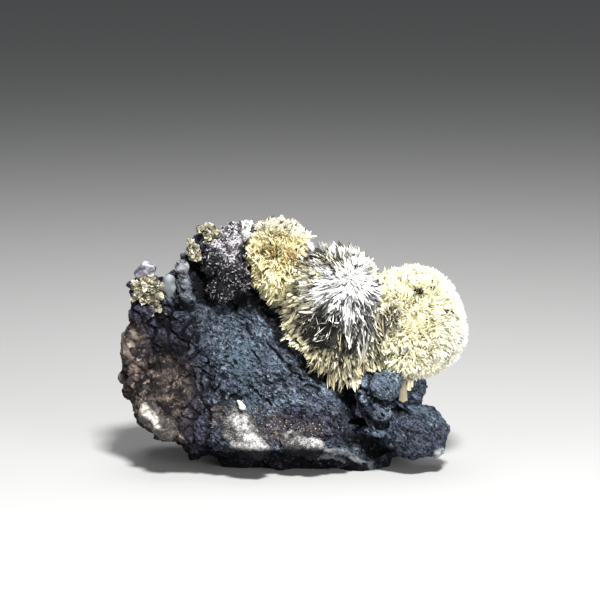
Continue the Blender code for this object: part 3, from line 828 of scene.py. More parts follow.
def sunburst_plan():
    """Long blades from a bright pole, with hollows painted dark as shade that thin blades cross, and an olive
    jagged edge.
    """

    def shade_of(tips, distance):
        # Which blades may be painted dark as shade: fewer near the pole, at the back and at the upper left.
        shade = smooth_step(distance, 2.5, 8) * (1 - 0.7 * smooth_step(tips[:, 1], -6, 2))
        return shade * (1 - 0.5 * blob(tips, (3.0, 46.0), (7.5, 8.0)))

    def rim_of(tips, distance):
        outer = smooth_step(distance, 9, 18) * (1 - 0.85 * blob(tips, (16.2, 36.0), (6.0, 13.0)))
        return np.maximum(outer, 0.6 * blob(tips, (8.0, 53.5), (6.0, 4.0)))

    plates = {"widths": (0.9, 1.5), "count": 3, "spread": 0.9, "flatness": 0.12, "rim": 1.0}
    fans = rim_fans(SUNBURST_RIM, SUNBURST_ROOT, (0.0, 1.8, 3.8), 1.3, 3.0, 8, rim=0.85)
    fans += rim_fans(SUNBURST_RIM, SUNBURST_ROOT, (0.0, 1.6, 3.4), 1.7, 2.4, 21, **plates)
    fans += rim_fans(SUNBURST_TOP, SUNBURST_ROOT, (0.0, 2.0), 1.1, 3.0, 12, rim=0.35)
    fans += (
        fan((15.0, 24.0), (15.2, 19.3), width=0.9),
        # Dark fans at the top left, painted dark as the shade of the valley beside the honey spray.
        fan((5.5, 52.0), (2.0, 55.5), rim=0.1, shade=0.9), fan((6.5, 53.0), (3.6, 57.0), rim=0.1, shade=0.9),
        fan((5.0, 50.0), (1.0, 53.0), rim=0.1, shade=0.8), fan((7.5, 53.5), (6.0, 56.5), rim=0.2, shade=0.7),
    )
    for centre, radii, count, seed in (
        ((7.2, 34.2), (5.2, 5.0), 90, 41), ((15.5, 33.0), (2.8, 7.0), 24, 42),
        ((22.5, 37.5), (2.8, 5.0), 30, 43), ((18.6, 38.0), (2.4, 5.5), 40, 45),
        ((12.0, 29.5), (2.6, 3.0), 8, 44),
    ):
        fans += needles(centre, radii, count, SUNBURST_ROOT, seed)
    return Plan(
        nucleus=(14.2, -15.0, 49.3), seed=2, sites=10100, scatter=0.4, crowded_within=7.0, thinning=0.9,
        fill=1.06, full_size_at=20.0, length=(1.6, 7.0), width=(0.24, 1.0), flatness=0.28,
        groove_count=6.0, groove_length=22.0, groove_depth=0.12, tier_step=4.5, tier_depth=0.09,
        clump_depth=0.08, clump_size=1.6, ragged=0.16, lift=0.22, wander=0.55, fan=0.15,
        sheaf_spread=0.28, stagger=1.0, overlap=0.93, dark_sheaves=0.38, dark_blades=0.1, core=0.62,
        pits=(
            ((25.0, 37.5), (3.0, 5.0), 0.2), ((7.6, 34.2), (4.6, 4.2), 0.26),
            ((15.6, 31.0), (1.8, 6.0), 0.18), ((20.6, 37.5), (2.4, 4.5), 0.18),
            ((12.0, 29.5), (1.6, 3.0), 0.14),
        ),
        glooms=(
            ((7.0, 34.0), (6.4, 6.0), 0.95), ((15.2, 34.5), (2.0, 7.5), 0.22),
            ((22.8, 37.5), (3.2, 5.4), 0.52), ((11.0, 28.5), (3.2, 3.2), 0.45),
            ((22.5, 30.0), (3.0, 3.5), 0.45), ((4.0, 53.5), (2.5, 3.0), 0.55),
        ),
        shade_of=shade_of, rim_of=rim_of, fans=fans,
    )


def honey_plan():
    """Short honey-coloured blades in shaggy rosettes, stained orange in places."""

    def rim_of(tips, distance):
        return 1 - 0.8 * smooth_step(tips[:, 2], 57, 62)

    def stain_of(tips, distance):
        orange = np.maximum(blob(tips, (-6.2, 53.4), (3.0, 4.0)), 0.7 * blob(tips, (-0.2, 53.2), (3.4, 2.6)))
        return 0.26 * orange + 0.14 * smooth_step(clumps(tips, 2.6, 9), 0.58, 0.74)

    return Plan(
        nucleus=(-3.3, -10.2, 55.9), seed=3, sites=5300, crowded_within=12.0, thinning=0.5,
        fill=1.05, full_size_at=10.0, length=(1.8, 3.8), width=(0.28, 0.62), flatness=0.32,
        rosettes=42, rosette_depth=0.62, rosette_scatter=1.5, rosette_pull=0.8, rosette_round=0.05,
        groove_count=5.0, groove_length=8.0, groove_depth=0.1, tier_step=4.0, tier_depth=0.08,
        clump_depth=0.1, clump_size=1.8, ragged=0.1, lift=0.5, wander=0.8, jitter=0.16, fan=0.25,
        sheaf_spread=0.32, stagger=0.5, dark_sheaves=0.05, dark_blades=0.05, core=0.72, core_along=0.1,
        pits=(((-7.0, 53.5), (2.4, 2.4), 0.14),),
        glooms=(((-6.5, 53.0), (2.4, 2.4), 0.2), ((1.5, 52.0), (3.0, 5.0), 0.16)),
        rim_of=rim_of, stain_of=stain_of,
        fans=(
            fan((1.0, 57.5), (5.9, 57.6)), fan((-2.0, 44.0), (-3.0, 40.2)), fan((0.0, 45.0), (-0.5, 41.2)),
            fan((-4.5, 43.5), (-6.5, 40.8)), fan((1.5, 47.0), (2.0, 43.0)),
        ),
    )


def add_sprays():
    """The three large sprays, each in a material of its own."""
    surfaces = Solid("host_rock", *DOMES)
    spray("cream_spray", cream_plan(), surfaces, crystal_material(
        "cream_aragonite", (0.88, 0.87, 0.8), (0.88, 0.84, 0.61), (0.94, 0.94, 0.89), (0.92, 0.9, 0.72),
        root=(0.82, 0.78, 0.57), edge=0.08, glow=0.42,
    ), "cream_aragonite")
    spray("sunburst_spray", sunburst_plan(), surfaces, crystal_material(
        "white_aragonite", (0.86, 0.86, 0.85), (0.52, 0.48, 0.31), (0.94, 0.94, 0.93), (0.73, 0.68, 0.48),
        edge=0.62,
    ), "white_aragonite")
    spray("honey_spray", honey_plan(), surfaces, crystal_material(
        "honey_aragonite", (0.62, 0.6, 0.52), (0.9, 0.83, 0.53), (0.78, 0.76, 0.68), (0.95, 0.91, 0.69),
        root=(0.2, 0.16, 0.08), edge=0.4,
    ), "honey_aragonite")


# ---------------------------------------------------------------- rock

ROCK_VOXEL = 0.66
CRACK_DEPTH = 0.8
# The rock below this height is pressed flat on the ground.
FLAT_FOOT = 0.45
# Places on the front are given as x and the height that they appear at: the lines of the cracks.
CRACKS = (
    ((-17.8, 26.5), (-18.6, 24.0), (-18.1, 20.8), (-19.8, 18.2), (-20.3, 16.0)),
    ((-22.6, 23.5), (-20.3, 22.7), (-18.6, 23.5)),
    ((-10.6, 21.2), (-7.8, 18.2), (-5.3, 16.5)),
    ((-6.3, 32.0), (-3.3, 28.2), (-0.3, 25.0), (2.4, 22.0)),
    ((-13.3, 34.5), (-10.8, 30.8), (-7.8, 27.0)),
    ((0.7, 24.0), (3.2, 21.5), (6.2, 20.0)),
    ((9.2, 17.0), (9.9, 14.5), (11.7, 13.2)),
    ((-27.1, 34.5), (-25.8, 30.8), (-26.8, 26.5), (-25.3, 22.0)),
    ((-33.3, 39.5), (-29.6, 37.5), (-25.8, 36.5), (-21.8, 37.0)),
    ((-30.8, 34.5), (-28.3, 30.8), (-29.3, 25.8)),
    ((-23.8, 37.5), (-22.6, 33.2), (-23.6, 29.0)),
    ((-2.3, 14.5), (-1.8, 10.8), (-0.3, 7.8)),
    ((-16.0, 41.5), (-12.0, 37.5), (-10.5, 33.5)),
    ((-24.5, 27.5), (-22.0, 29.2), (-20.0, 28.4)),
)
# The hollows between blocks, under the sprays and along the underside, sunk and painted nearly black as shade:
# the line along each, and its width.
HOLLOWS = (
    (((-20.3, 43.5), (-15.0, 42.0), (-11.0, 41.5)), 4.6),
    (((-24.1, 53.5), (-23.1, 47.0), (-22.0, 42.0)), 3.0),
    (((-10.0, 45.0), (-8.8, 42.0), (-6.8, 39.0), (-3.3, 35.5), (-1.8, 30.8), (1.7, 27.5), (4.9, 24.2),
      (10.4, 21.0), (13.4, 17.5)), 2.2),
    (((-1.0, 39.0), (0.5, 35.5), (2.0, 31.5), (4.8, 27.5), (8.5, 24.5)), 3.0),
    (((11.7, 20.8), (14.4, 18.8), (16.2, 15.8), (17.4, 13.2)), 1.9),
    (((15.4, 21.5), (18.4, 18.0), (20.4, 17.8), (22.9, 16.8), (24.9, 16.2), (26.2, 15.0)), 0.9),
    (((25.0, 14.8), (26.5, 14.4), (28.2, 14.2)), 1.5),
    (((14.8, 12.0), (18.2, 11.4), (22.4, 11.2)), 1.3),
    (((13.8, 7.6), (17.9, 6.4), (21.6, 4.0)), 3.7),
    (((21.0, 5.5), (25.0, 2.4), (31.0, 0.6)), 1.8),
    (((-15.2, 17.9), (-13.6, 18.1)), 1.1),
    (((-34.0, 30.5), (-28.5, 29.5)), 3.6),
    (((-43.0, 6.0), (-28.0, 2.0), (0.0, 0.5), (20.0, -0.5), (40.0, -0.5)), 5.5),
)
# Pale lumps of calcite in the rock: where each lies, how wide it is and how white.
PALE_LUMPS = (
    (((-27.4, 50.6), (-26.8, 49.8)), 2.0, 0.78),
    (((-26.6, 46.8), (-26.4, 44.4)), 2.2, 0.2),
    (((2.0, 4.4), (7.0, 5.3), (11.0, 4.9), (15.5, 3.0), (19.5, 0.6)), 1.0, 0.55),
    (((3.5, 2.6), (8.5, 3.0), (13.0, 1.6)), 0.9, 0.5),
    (((35.6, 4.4), (37.4, 3.2)), 1.4, 0.9),
    (((-28.0, 4.3), (-24.0, 3.6)), 0.9, 0.3),
    (((-20.0, 4.6), (-16.5, 4.0)), 0.7, 0.3),
)
# Boulders on the rock's front: middle, half width and height, how far each stands out, and how square it is.
BOULDERS = (
    ((22.7, 21.0), (4.3, 4.2), 1.3, 2.0),
    ((21.7, 14.5), (3.5, 2.7), 1.1, 2.0),
    ((30.9, 9.2), (8.2, 7.4), 1.3, 2.0),
    ((31.0, 19.9), (4.8, 4.0), 0.7, 2.0),
    ((-27.1, 50.2), (2.2, 2.2), 0.5, 2.0),
    ((-26.2, 44.2), (2.6, 4.3), 0.9, 5.0),
    ((-39.7, 33.0), (3.9, 3.4), 0.7, 2.0),
    ((-39.4, 26.6), (3.8, 3.4), 0.9, 2.0),
    ((-34.8, 28.6), (2.6, 2.4), 0.6, 2.0),
    ((-38.5, 20.5), (3.6, 3.0), 0.7, 2.0),
)
# Where the rock's brown stain lies, and where it turns to a pale pinkish tan.
STAINS = (
    ((-34.0, 20.0), (14.0, 15.0), 1.0),
    ((-40.0, 31.0), (6.0, 9.0), 1.0),
    ((-30.0, 9.8), (7.5, 5.5), 0.9),
    ((-15.6, 13.8), (6.5, 6.0), 0.65),
    ((-6.0, 10.5), (8.0, 5.0), 0.6),
    ((3.5, 10.5), (6.0, 4.0), 0.45),
)
BLUSH = (((-39.8, 30.0), (4.6, 7.5), 0.26), ((-35.5, 16.5), (5.0, 4.0), 0.3))
# Where the rock's front is finer grained, with few chips and cracks.
MATTE = (((22.7, 21.0), (5.5, 5.5), 1.0), ((30.9, 9.2), (10.0, 9.0), 1.0), ((31.0, 19.9), (6.0, 5.0), 0.8))
# Where the rock is dark purple, besides its left side: its own tone at the upper left, and painted shade over
# the lower front and the lobe.
DUSKS = (
    ((-20.0, 55.0), (10.0, 8.0), 0.85),
    ((3.0, 10.5), (17.0, 6.5), 1.0),
    ((31.0, 6.5), (10.5, 8.0), 0.55),
    ((15.0, 13.5), (7.0, 4.0), 0.8),
)


def path_distance(points, path):
    """How far points on the front appear from a line of places, and infinity behind."""
    flat = np.stack([points[:, 0], seen_height(points)], 1)
    best = np.full(len(points), np.inf)
    for a, b in zip(path[:-1], path[1:]):
        a, b = np.array(a), np.array(b)
        t = np.clip(((flat - a) @ (b - a)) / ((b - a) @ (b - a)), 0, 1)
        best = np.minimum(best, np.linalg.norm(flat - (a + t[:, None] * (b - a)), axis=1))
    return best + np.where(points[:, 1] < FRONT_LIMIT, 0.0, np.inf)


def near_line(points, path, low, high, width=1.0):
    """1 along a line of places on the front, fading to 0 between these distances from it, in widths."""
    return 1 - smooth_step(path_distance(points, path) / width, low, high)


def lines(points, plan, low, high):
    """The strongest of several soft lines on the front at each point."""
    strength = np.zeros(len(points))
    for path, width, most in plan:
        strength = np.maximum(strength, most * near_line(points, path, low, high, width))
    return strength


def patches(points, plan):
    """The strongest of several soft oval patches of the front at each point."""
    strength = np.zeros(len(points))
    for centre, radii, most in plan:
        strength = np.maximum(strength, most * blob(points, centre, radii))
    return strength


def remeshed(node, voxel, smooth):
    """A node's surface in small faces of even size, smoothed. The caller frees it."""
    piece = bpy.data.objects.new("remeshed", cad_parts[node].data.copy())
    bpy.context.scene.collection.objects.link(piece)
    step = piece.modifiers.new("Remesh", "REMESH")
    step.mode = "VOXEL"
    step.voxel_size = voxel * MM
    graph = bpy.context.evaluated_depsgraph_get()
    mesh = bpy.data.meshes.new_from_object(piece.evaluated_get(graph), depsgraph=graph)
    bm = bmesh.new()
    bm.from_mesh(mesh)
    bpy.data.objects.remove(piece)
    bpy.data.meshes.remove(mesh)
    all_axes = {"use_axis_x": True, "use_axis_y": True, "use_axis_z": True}
    for _ in range(smooth):
        bmesh.ops.smooth_vert(bm, verts=bm.verts, factor=0.5, **all_axes)
    return bm


def surface_arrays(bm):
    """A surface's points in millimetres, its normals and its faces. Frees the surface."""
    bm.normal_update()
    bm.verts.index_update()
    verts = np.array([v.co for v in bm.verts]) / MM
    normals = np.array([v.normal for v in bm.verts])
    faces = [[v.index for v in f.verts] for f in bm.faces]
    bm.free()
    return verts, normals, faces


def fine_rock():
    """The rock with its relief, in smaller faces at the front."""
    bm = remeshed("host_rock", ROCK_VOXEL, 1)
    for face in bm.faces:
        face.tag = face.normal.y < -0.02 and face.calc_center_median().y < 0.0
    edges = [edge for edge in bm.edges if any(face.tag for face in edge.link_faces)]
    bmesh.ops.subdivide_edges(bm, edges=edges, cuts=1, use_grid_fill=True, smooth=0.3)
    bmesh.ops.triangulate(bm, faces=[f for f in bm.faces if len(f.verts) > 4])
    verts, normals, faces = surface_arrays(bm)
    moved, attributes = rock_relief(verts, normals)
    piece = mesh_object("craggy_rock", moved, faces, attributes, rock_material())
    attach(piece, "root")
    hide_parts("host_rock")


def noise_vectors(points, size):
    """A smooth random direction for each point, alike for points this close."""
    return np.array([noise.noise_vector(Vector(p) / size) for p in points])


def sheared(points, stretch, warp, warp_size):
    """Points turned along the rock's grain, scaled and bent by noise, for the textures below."""
    cos, sin = math.cos(ROCK_LEAN), math.sin(ROCK_LEAN)
    turned = np.stack([
        points[:, 0] * cos - points[:, 2] * sin, points[:, 1], points[:, 0] * sin + points[:, 2] * cos,
    ], 1)
    return (turned + noise_vectors(points, warp_size) * warp) * np.array(stretch)


def chips(points, size, tilt, seed):
    """Height of broken, tilted flats the size of the cells, and the gap to the nearest crack."""
    height = np.empty(len(points))
    gap = np.empty(len(points))
    for i, p in enumerate(points / size):
        distances, places = noise.voronoi(Vector(p))
        middle = places[0]
        offset = noise.cell_vector(middle * 17.3 + Vector((seed, seed, seed)))
        slope = noise.cell_vector(middle * 9.1 + Vector((0, seed, 0))) - Vector((0.5, 0.5, 0.5))
        height[i] = offset.x - 0.5 + tilt * (Vector(p) - middle).dot(slope)
        gap[i] = distances[1] - distances[0]
    return height, gap


def fractal(points, size, octaves, seed=0.0):
    """Rough noise for each point, about -1 to 1, with features up to this size."""
    offset = Vector((seed, seed * 1.7, seed * 0.3))
    return np.array([noise.fractal(Vector(p) / size + offset, 0.7, 2.0, octaves) for p in points])


def boulders(points):
    """How far the boulders raise each point of the front, and how near it is to the foot of one."""
    raised = np.zeros(len(points))
    foot = np.zeros(len(points))
    front = points[:, 1] < FRONT_LIMIT
    for centre, radii, height, square in BOULDERS:
        across = np.abs(points[:, 0] - centre[0]) / radii[0]
        up = np.abs(seen_height(points) - centre[1]) / radii[1]
        out = (across ** square + up ** square) ** (1 / square)
        raised = np.maximum(raised, front * height * np.sqrt(np.clip(1 - out * out, 0, 1)))
        foot = np.maximum(foot, front * (1 - smooth_step(np.abs(out - 1.0) * min(radii), 0.15, 0.55)))
    return raised, foot


def tan_stain(verts):
    """How brown the rock is: in patches of the front and, with a ragged edge, on its left side."""
    uneven = 4.0 * fractal(verts, 5.0, 3, 27.0)
    height = verts[:, 2] + 5.0 * fractal(verts, 6.0, 3, 41.0)
    beside = smooth_step(-verts[:, 0], 37, 41) * smooth_step(uneven - verts[:, 1], -12, -4)
    beside *= smooth_step(height, 7, 15) * (1 - smooth_step(height, 32, 40))
    return np.maximum(patches(verts, STAINS), beside)


def nicks(verts, grain, matte):
    """Short nicks along the rock's grain, sunk and painted dark as shade, in some places only and fainter
    where it is matte.
    """
    nick = smooth_step(fractal(grain * np.array((0.55, 1, 1.25)), 0.9, 2, 13.0), 0.12, 0.42)
    nick *= smooth_step(fractal(verts, 5.0, 2, 21.0), -0.45, 0.15)
    return nick * (1 - 0.7 * matte)


def cracks(verts, wobble, left, block_gap, boulder_foot):
    """Cracks along the lines in the photo, round the boulders and between blocks, most at the left."""
    crack = lines(verts + wobble, [(path, 1.0, 1.0) for path in CRACKS], 0.12, 0.5)
    crack *= smooth_step(fractal(verts, 2.2, 2, 31.0), -0.4, 0.0)
    broken = smooth_step(fractal(verts, 5.0, 2, 9.0) + 0.6 * left, -0.1, 0.3)
    block_crack = (1 - smooth_step(block_gap, 0.06, 0.16)) * broken
    crack = np.maximum(crack, block_crack * (0.3 + 0.7 * left))
    return np.maximum(crack, 0.75 * boulder_foot * smooth_step(fractal(verts, 2.4, 2, 17.0), -0.35, 0.1))


def rock_relief(verts, normals):
    """The rock's points moved to their relief, and the numbers that colour them."""
    left = 1 - smooth_step(verts[:, 0] + 0.25 * (verts[:, 2] - 40), -31, -17)
    tan = tan_stain(verts)
    matte = patches(verts, MATTE)
    wobble = noise_vectors(verts, 1.8) * 0.55
    grain = sheared(verts, (0.62, 1, 1.3), 1.2, 4.0)
    blocks, block_gap = chips(sheared(verts, (1, 1, 1), 2.0, 6.0), 4.4, 1.1, 3.0)
    lumps, lump_gap = chips(grain, 1.7, 1.0, 7.0)
    grains, _ = chips(verts, 0.75, 0.8, 11.0)
    rough = fractal(grain, 2.6, 5)
    fine = fractal(verts, 0.8, 2, 3.0)
    nick = nicks(verts, grain, matte)
    raised, boulder_foot = boulders(verts + wobble * 0.6)
    crack = cracks(verts, wobble, left, block_gap, boulder_foot)
    pale = lines(verts + wobble, PALE_LUMPS, 0.5, 1.0)
    hollow = lines(verts + wobble * 2.0, [(path, width, 1.0) for path, width in HOLLOWS], 0.35, 1.0)
    lump_crack = 1 - smooth_step(lump_gap, 0.02, 0.22)
    lump_crack *= smooth_step(fractal(verts, 3.0, 2, 2.0), -0.1, 0.35)
    lumps *= 1 - 0.6 * matte
    lump_crack *= 1 - 0.6 * matte
    move = 0.16 * rough + 0.16 * fine + blocks * (0.2 + 0.8 * left)
    move += 0.15 * lumps
    move += grains * (0.26 - 0.12 * left)
    move -= CRACK_DEPTH * crack + 0.22 * lump_crack + 0.38 * nick + 1.1 * hollow
    move += np.random.default_rng(5).normal(0, 0.07, len(verts))
    move *= 1 - 0.6 * tan
    move += 0.6 * pale + raised * (1 - hollow)
    foot = smooth_step(verts[:, 2], 0.2, 2.0)
    moved = verts + normals * (move * foot)[:, None]
    moved[:, 2] = np.where(verts[:, 2] < FLAT_FOOT, 0.0, np.maximum(moved[:, 2], 0.0))
    # Painted shade in the cracks, the gaps between lumps and the nicks, less on the brown stain.
    dark = np.clip(crack + 0.4 * lump_crack + 0.8 * nick, 0, 1) * (1 - 0.5 * tan)
    speckle = 1 - 0.25 * smooth_step(grains, 0.1, 0.5)
    # The height number paints light and shade by relief: lighter on raised places, the block at the right
    # lighter and the lower lobe darker.
    height = 0.5 + 0.45 * lumps + 0.45 * rough + 0.35 * grains + 0.2 * fine
    height += 0.45 * blob(verts, (21.5, 22.5), (7.0, 5.5)) - 0.45 * blob(verts, (31.0, 8.5), (11.0, 9.5))
    # The crack number is painted shade: cracks, nicks and hollows, the underside among them, turned nearly
    # black.
    return moved, {
        "crack": np.maximum(dark, hollow * speckle) * (1 - 0.8 * pale),
        # Purple is partly the rock's own tone at the left, partly painted shade over the lower front.
        "purple_and_shade": np.maximum(left, patches(verts, DUSKS)),
        "tan": tan,
        "blush": patches(verts, BLUSH),
        "height": np.clip(height, 0, 1),
        "pale": pale,
    }


# ---------------------------------------------------------------- druse, calcite and tufts

DRUSE_GRAINS = 3400
DRUSE_SLIVERS = 420


def fine_copy(node, voxel, lumps, smooth=1):
    """A node's surface in small faces, pushed in and out by noise of each size, depth and seed in lumps."""
    verts, normals, faces = surface_arrays(remeshed(node, voxel, smooth))
    move = np.zeros(len(verts))
    for size, depth, seed in lumps:
        move += depth * fractal(verts, size, 2, seed)
    return verts + normals * move[:, None], faces


def lump(name, node, slot, material, verts, faces, **values):
    """A piece that is one bare surface."""
    crystals = Crystals()
    crystals.add(verts, faces, **values)
    crystals.piece(name, node, material, slot)


def surface_points(verts, faces, count, rng):
    """Points spread evenly over a surface, with its normal at each."""
    triangles = np.array([(f[0], f[i], f[i + 1]) for f in faces for i in range(1, len(f) - 1)])
    a, b, c = (verts[triangles[:, i]] for i in range(3))
    cross = np.cross(b - a, c - a)
    area = np.linalg.norm(cross, axis=1)
    picked = rng.choice(len(triangles), count, p=area / area.sum())
    u, v = rng.random((2, count, 1))
    flip = u + v > 1
    u, v = np.where(flip, 1 - u, u), np.where(flip, 1 - v, v)
    points = a[picked] + (b - a)[picked] * u + (c - a)[picked] * v
    return points, unit(cross[picked])


def add_grains(crystals, points, normals, size, length, lean, rng, flatness=0.75, **values):
    """Short pointed crystals standing on a surface at the points given."""
    count = len(points)
    out = unit(normals + rng.normal(0, lean, (count, 3)))
    widths = rng.uniform(*size, count)
    reach = widths * rng.uniform(*length, count)
    crystals.add_blades(
        points - out * 0.15, points + out * reach[:, None], rolled(out, rng.uniform(0, math.pi, count)),
        widths, flatness, rng, **values,
    )


def add_slivers(crystals, verts, faces, count, rng):
    """Thin pale needles lying over a crust."""
    points, outward = surface_points(verts, faces, count, rng)
    along = rng.normal(0, 1, (count, 3))
    along = unit(along - outward * (along * outward).sum(1, keepdims=True) * 0.85)
    half = along * rng.uniform(0.3, 0.9, (count, 1))
    middle = points + outward * 0.18
    crystals.add_blades(
        middle - half, middle + half, rolled(along, rng.uniform(0, math.pi, count)),
        rng.uniform(0.14, 0.28, count), 0.6, rng,
        tint=rng.random(count), rim=rng.uniform(0, 0.8, count) ** 2,
    )


def druse_brightness(points):
    """1 on the boulder's white upper middle, 0 on its black lower half: its white crust, with painted light at
    its top and painted shade below.
    """
    bright = patches(points, (((-16.5, 57.5), (5.5, 6.0), 1.0), ((-15.2, 54.5), (3.0, 4.5), 0.9)))
    bright = np.maximum(bright, 0.7 * smooth_step(points[:, 2], 57.5, 60.5))
    return np.clip(bright + 0.55 * fractal(points, 2.0, 3, 5.0) * (0.35 + bright), 0, 1)


def druse_boulder():
    """A craggy knob coated with tiny crystals, mauve-white with painted glints at its top, and painted black
    as shade below.
    """
    rng = np.random.default_rng(21)
    crystals = Crystals()
    verts, faces = fine_copy("druse_boulder", 0.4, ((3.2, 1.1, 1.0), (1.3, 0.55, 2.0)))
    bright = druse_brightness(verts)
    # Painted shade darkens the knob's lower half.
    crystals.add(verts, faces, along=0.5 + 0.4 * bright, rim=1 - bright, tint=0.5, shade=0.9 * (1 - bright))
    points, outward = surface_points(verts, faces, DRUSE_GRAINS, rng)
    bright = druse_brightness(points)
    crusted = smooth_step(fractal(points, 1.6, 3, 8.0), -0.05, 0.35)
    # Painted highlights: grains picked as glints are pale, the rest take painted shade below the top.
    glint = rng.random(len(points)) < 0.06 + 0.34 * crusted + 0.55 * bright
    dull = rng.uniform(0.15, 1.0, len(points)) ** 0.5 * (1 - bright)
    add_grains(
        crystals, points, outward, (0.25, 0.75), (0.3, 1.1), 0.6, rng, tint=rng.random(len(points)),
        rim=np.where(glint, dull, 1.0), shade=np.where(glint, 0.0, 0.95 * (1 - bright)),
    )
    add_slivers(crystals, verts, faces, DRUSE_SLIVERS, rng)
    crystals.piece("druse_boulder_crystals", "druse_boulder", crystal_material(
        "grey_druse", (0.4, 0.37, 0.4), (0.014, 0.014, 0.017), (0.86, 0.84, 0.86), (0.045, 0.045, 0.055),
        edge=0.3,
    ), "grey_druse")


def underside_shade(points):
    """1 on the specimen's underside, where its calcite is painted nearly black as shade, fading out a little
    way up.
    """
    return 1 - smooth_step(seen_height(points), 5.2, 6.8)


def clear_of_rock(points):
    """0 where a crust meets the rock, 1 where it stands clear of it."""
    return smooth_step(np.array([-ROCK.depth(p) for p in points]), 0.0, 1.1)


def calcite(node, name, material, brightness, seed, count, grain, voxel, scatter=()):
    """A clouded crust with a sugary surface of this many grains, and loose ones on the rock round it."""
    rng = np.random.default_rng(seed)
    crystals = Crystals()
    verts, faces = fine_copy(node, voxel, ((2.6, 0.6, seed), (1.0, 0.3, seed + 1.0)))
    bright = brightness(verts) * (0.25 + 0.75 * clear_of_rock(verts))
    crystals.add(verts, faces, along=0.5 + 0.4 * bright, rim=1 - bright, tint=0.3, shade=underside_shade(verts))
    points, outward = surface_points(verts, faces, count, rng)
    bright = brightness(points) * (0.25 + 0.75 * clear_of_rock(points))
    shade = (rng.random(len(points)) < 0.22 - 0.16 * bright) * 0.8
    add_grains(
        crystals, points, outward, grain, (0.4, 1.0), 0.5, rng, tint=rng.uniform(0, 0.8, len(points)),
        rim=1 - bright, shade=np.maximum(shade, underside_shade(points)),
    )
    for centre, radii, loose in scatter:
        scatter_on_rock(crystals, grain, rng, centre, radii, loose)
    crystals.piece(name, node, material, "white_calcite")


def points_on_rock(centre, radii, count, rng):
    """Points on the rock's front gathered round a place, fewer farther out, with its normal at each."""
    across = centre[0] + rng.normal(0, radii[0], count)
    up = centre[1] + rng.normal(0, radii[1], count)
    hits = [hit for hit in (ROCK.seen(*place) for place in zip(across, up)) if hit]
    return np.array(hits), np.array([ROCK.tree.find_nearest(hit)[1] for hit in hits])


def scatter_on_rock(crystals, grain, rng, centre, radii, count):
    """Loose crystals on the rock's front round a crust."""
    points, outward = points_on_rock(centre, radii, count, rng)
    add_grains(
        crystals, points, outward, grain, (0.5, 1.2), 0.5, rng,
        tint=rng.random(len(points)), rim=rng.uniform(0.2, 1, len(points)), shade=underside_shade(points),
    )


def front_brightness(points):
    """How white the front calcite is: along its middle and its toe, clouded."""
    middle = near_line(points, ((-13.0, 13.2), (-11.3, 9.5), (-8.2, 6.6)), 0.4, 2.9)
    toe = near_line(points, ((-16.5, 7.0), (-6.5, 6.0)), 0.3, 1.3)
    return np.clip(np.maximum(0.9 * middle, 0.8 * toe) + 0.75 * fractal(points, 1.1, 4, 3.0), 0, 1)


def lip_brightness(points):
    """How white the lip calcite is: along its middle and an arch at its left, clouded."""
    middle = near_line(points, ((3.2, 7.6), (6.4, 6.8)), 0.5, 2.2)
    arch = 0.6 * near_line(points, ((-2.0, 9.5), (1.0, 11.4), (3.2, 9.8)), 0.3, 1.4)
    return np.clip(np.maximum(0.9 * middle, arch) + 0.75 * fractal(points, 1.1, 4, 4.0), 0, 1)


def knob_brightness(points):
    """How white the knob is: nearly all over, clouded."""
    return np.clip(0.75 + 0.7 * fractal(points, 1.8, 2, 6.0), 0, 1)


def lower_crusts():
    """The white and tan crusts along the lower front edge."""
    white = crystal_material(
        "white_calcite", (0.36, 0.35, 0.33), (0.04, 0.038, 0.038), (0.72, 0.73, 0.74), (0.15, 0.14, 0.13),
        root=(0.08, 0.075, 0.07), edge=0.2, roughness=0.45, glow=0.12,
    )
    calcite(
        "front_calcite", "front_calcite_druse", white, front_brightness, seed=31, count=3200,
        grain=(0.2, 0.45), voxel=0.4, scatter=(((-13.0, 12.5), (3.4, 2.8), 220),),
    )
    calcite(
        "lip_calcite", "lip_calcite_druse", white, lip_brightness, seed=32, count=1800,
        grain=(0.2, 0.45), voxel=0.4, scatter=(((0.5, 10.0), (4.6, 1.8), 150),),
    )


def pale_calcites():
    """The white knob, and the smooth bright blade above the front calcite."""
    pale = crystal_material(
        "pale_calcite", (0.66, 0.66, 0.64), (0.27, 0.27, 0.26), (0.86, 0.87, 0.86), (0.46, 0.46, 0.44),
        root=(0.1, 0.1, 0.09), edge=0.2, roughness=0.45, glow=0.12,
    )
    calcite(
        "white_knob", "white_knob_crystals", pale, knob_brightness, seed=33, count=350,
        grain=(0.25, 0.6), voxel=0.35,
    )
    verts, faces = fine_copy("calcite_blade", 0.15, ((0.9, 0.12, 6.0),), 5)
    lump(
        "calcite_blade_crystal", "calcite_blade", "white_calcite", pale, verts, faces,
        along=1.0, tint=0.2, rim=0.5 * smooth_step(verts[:, 0] + verts[:, 2], 3.2, 4.6),
    )


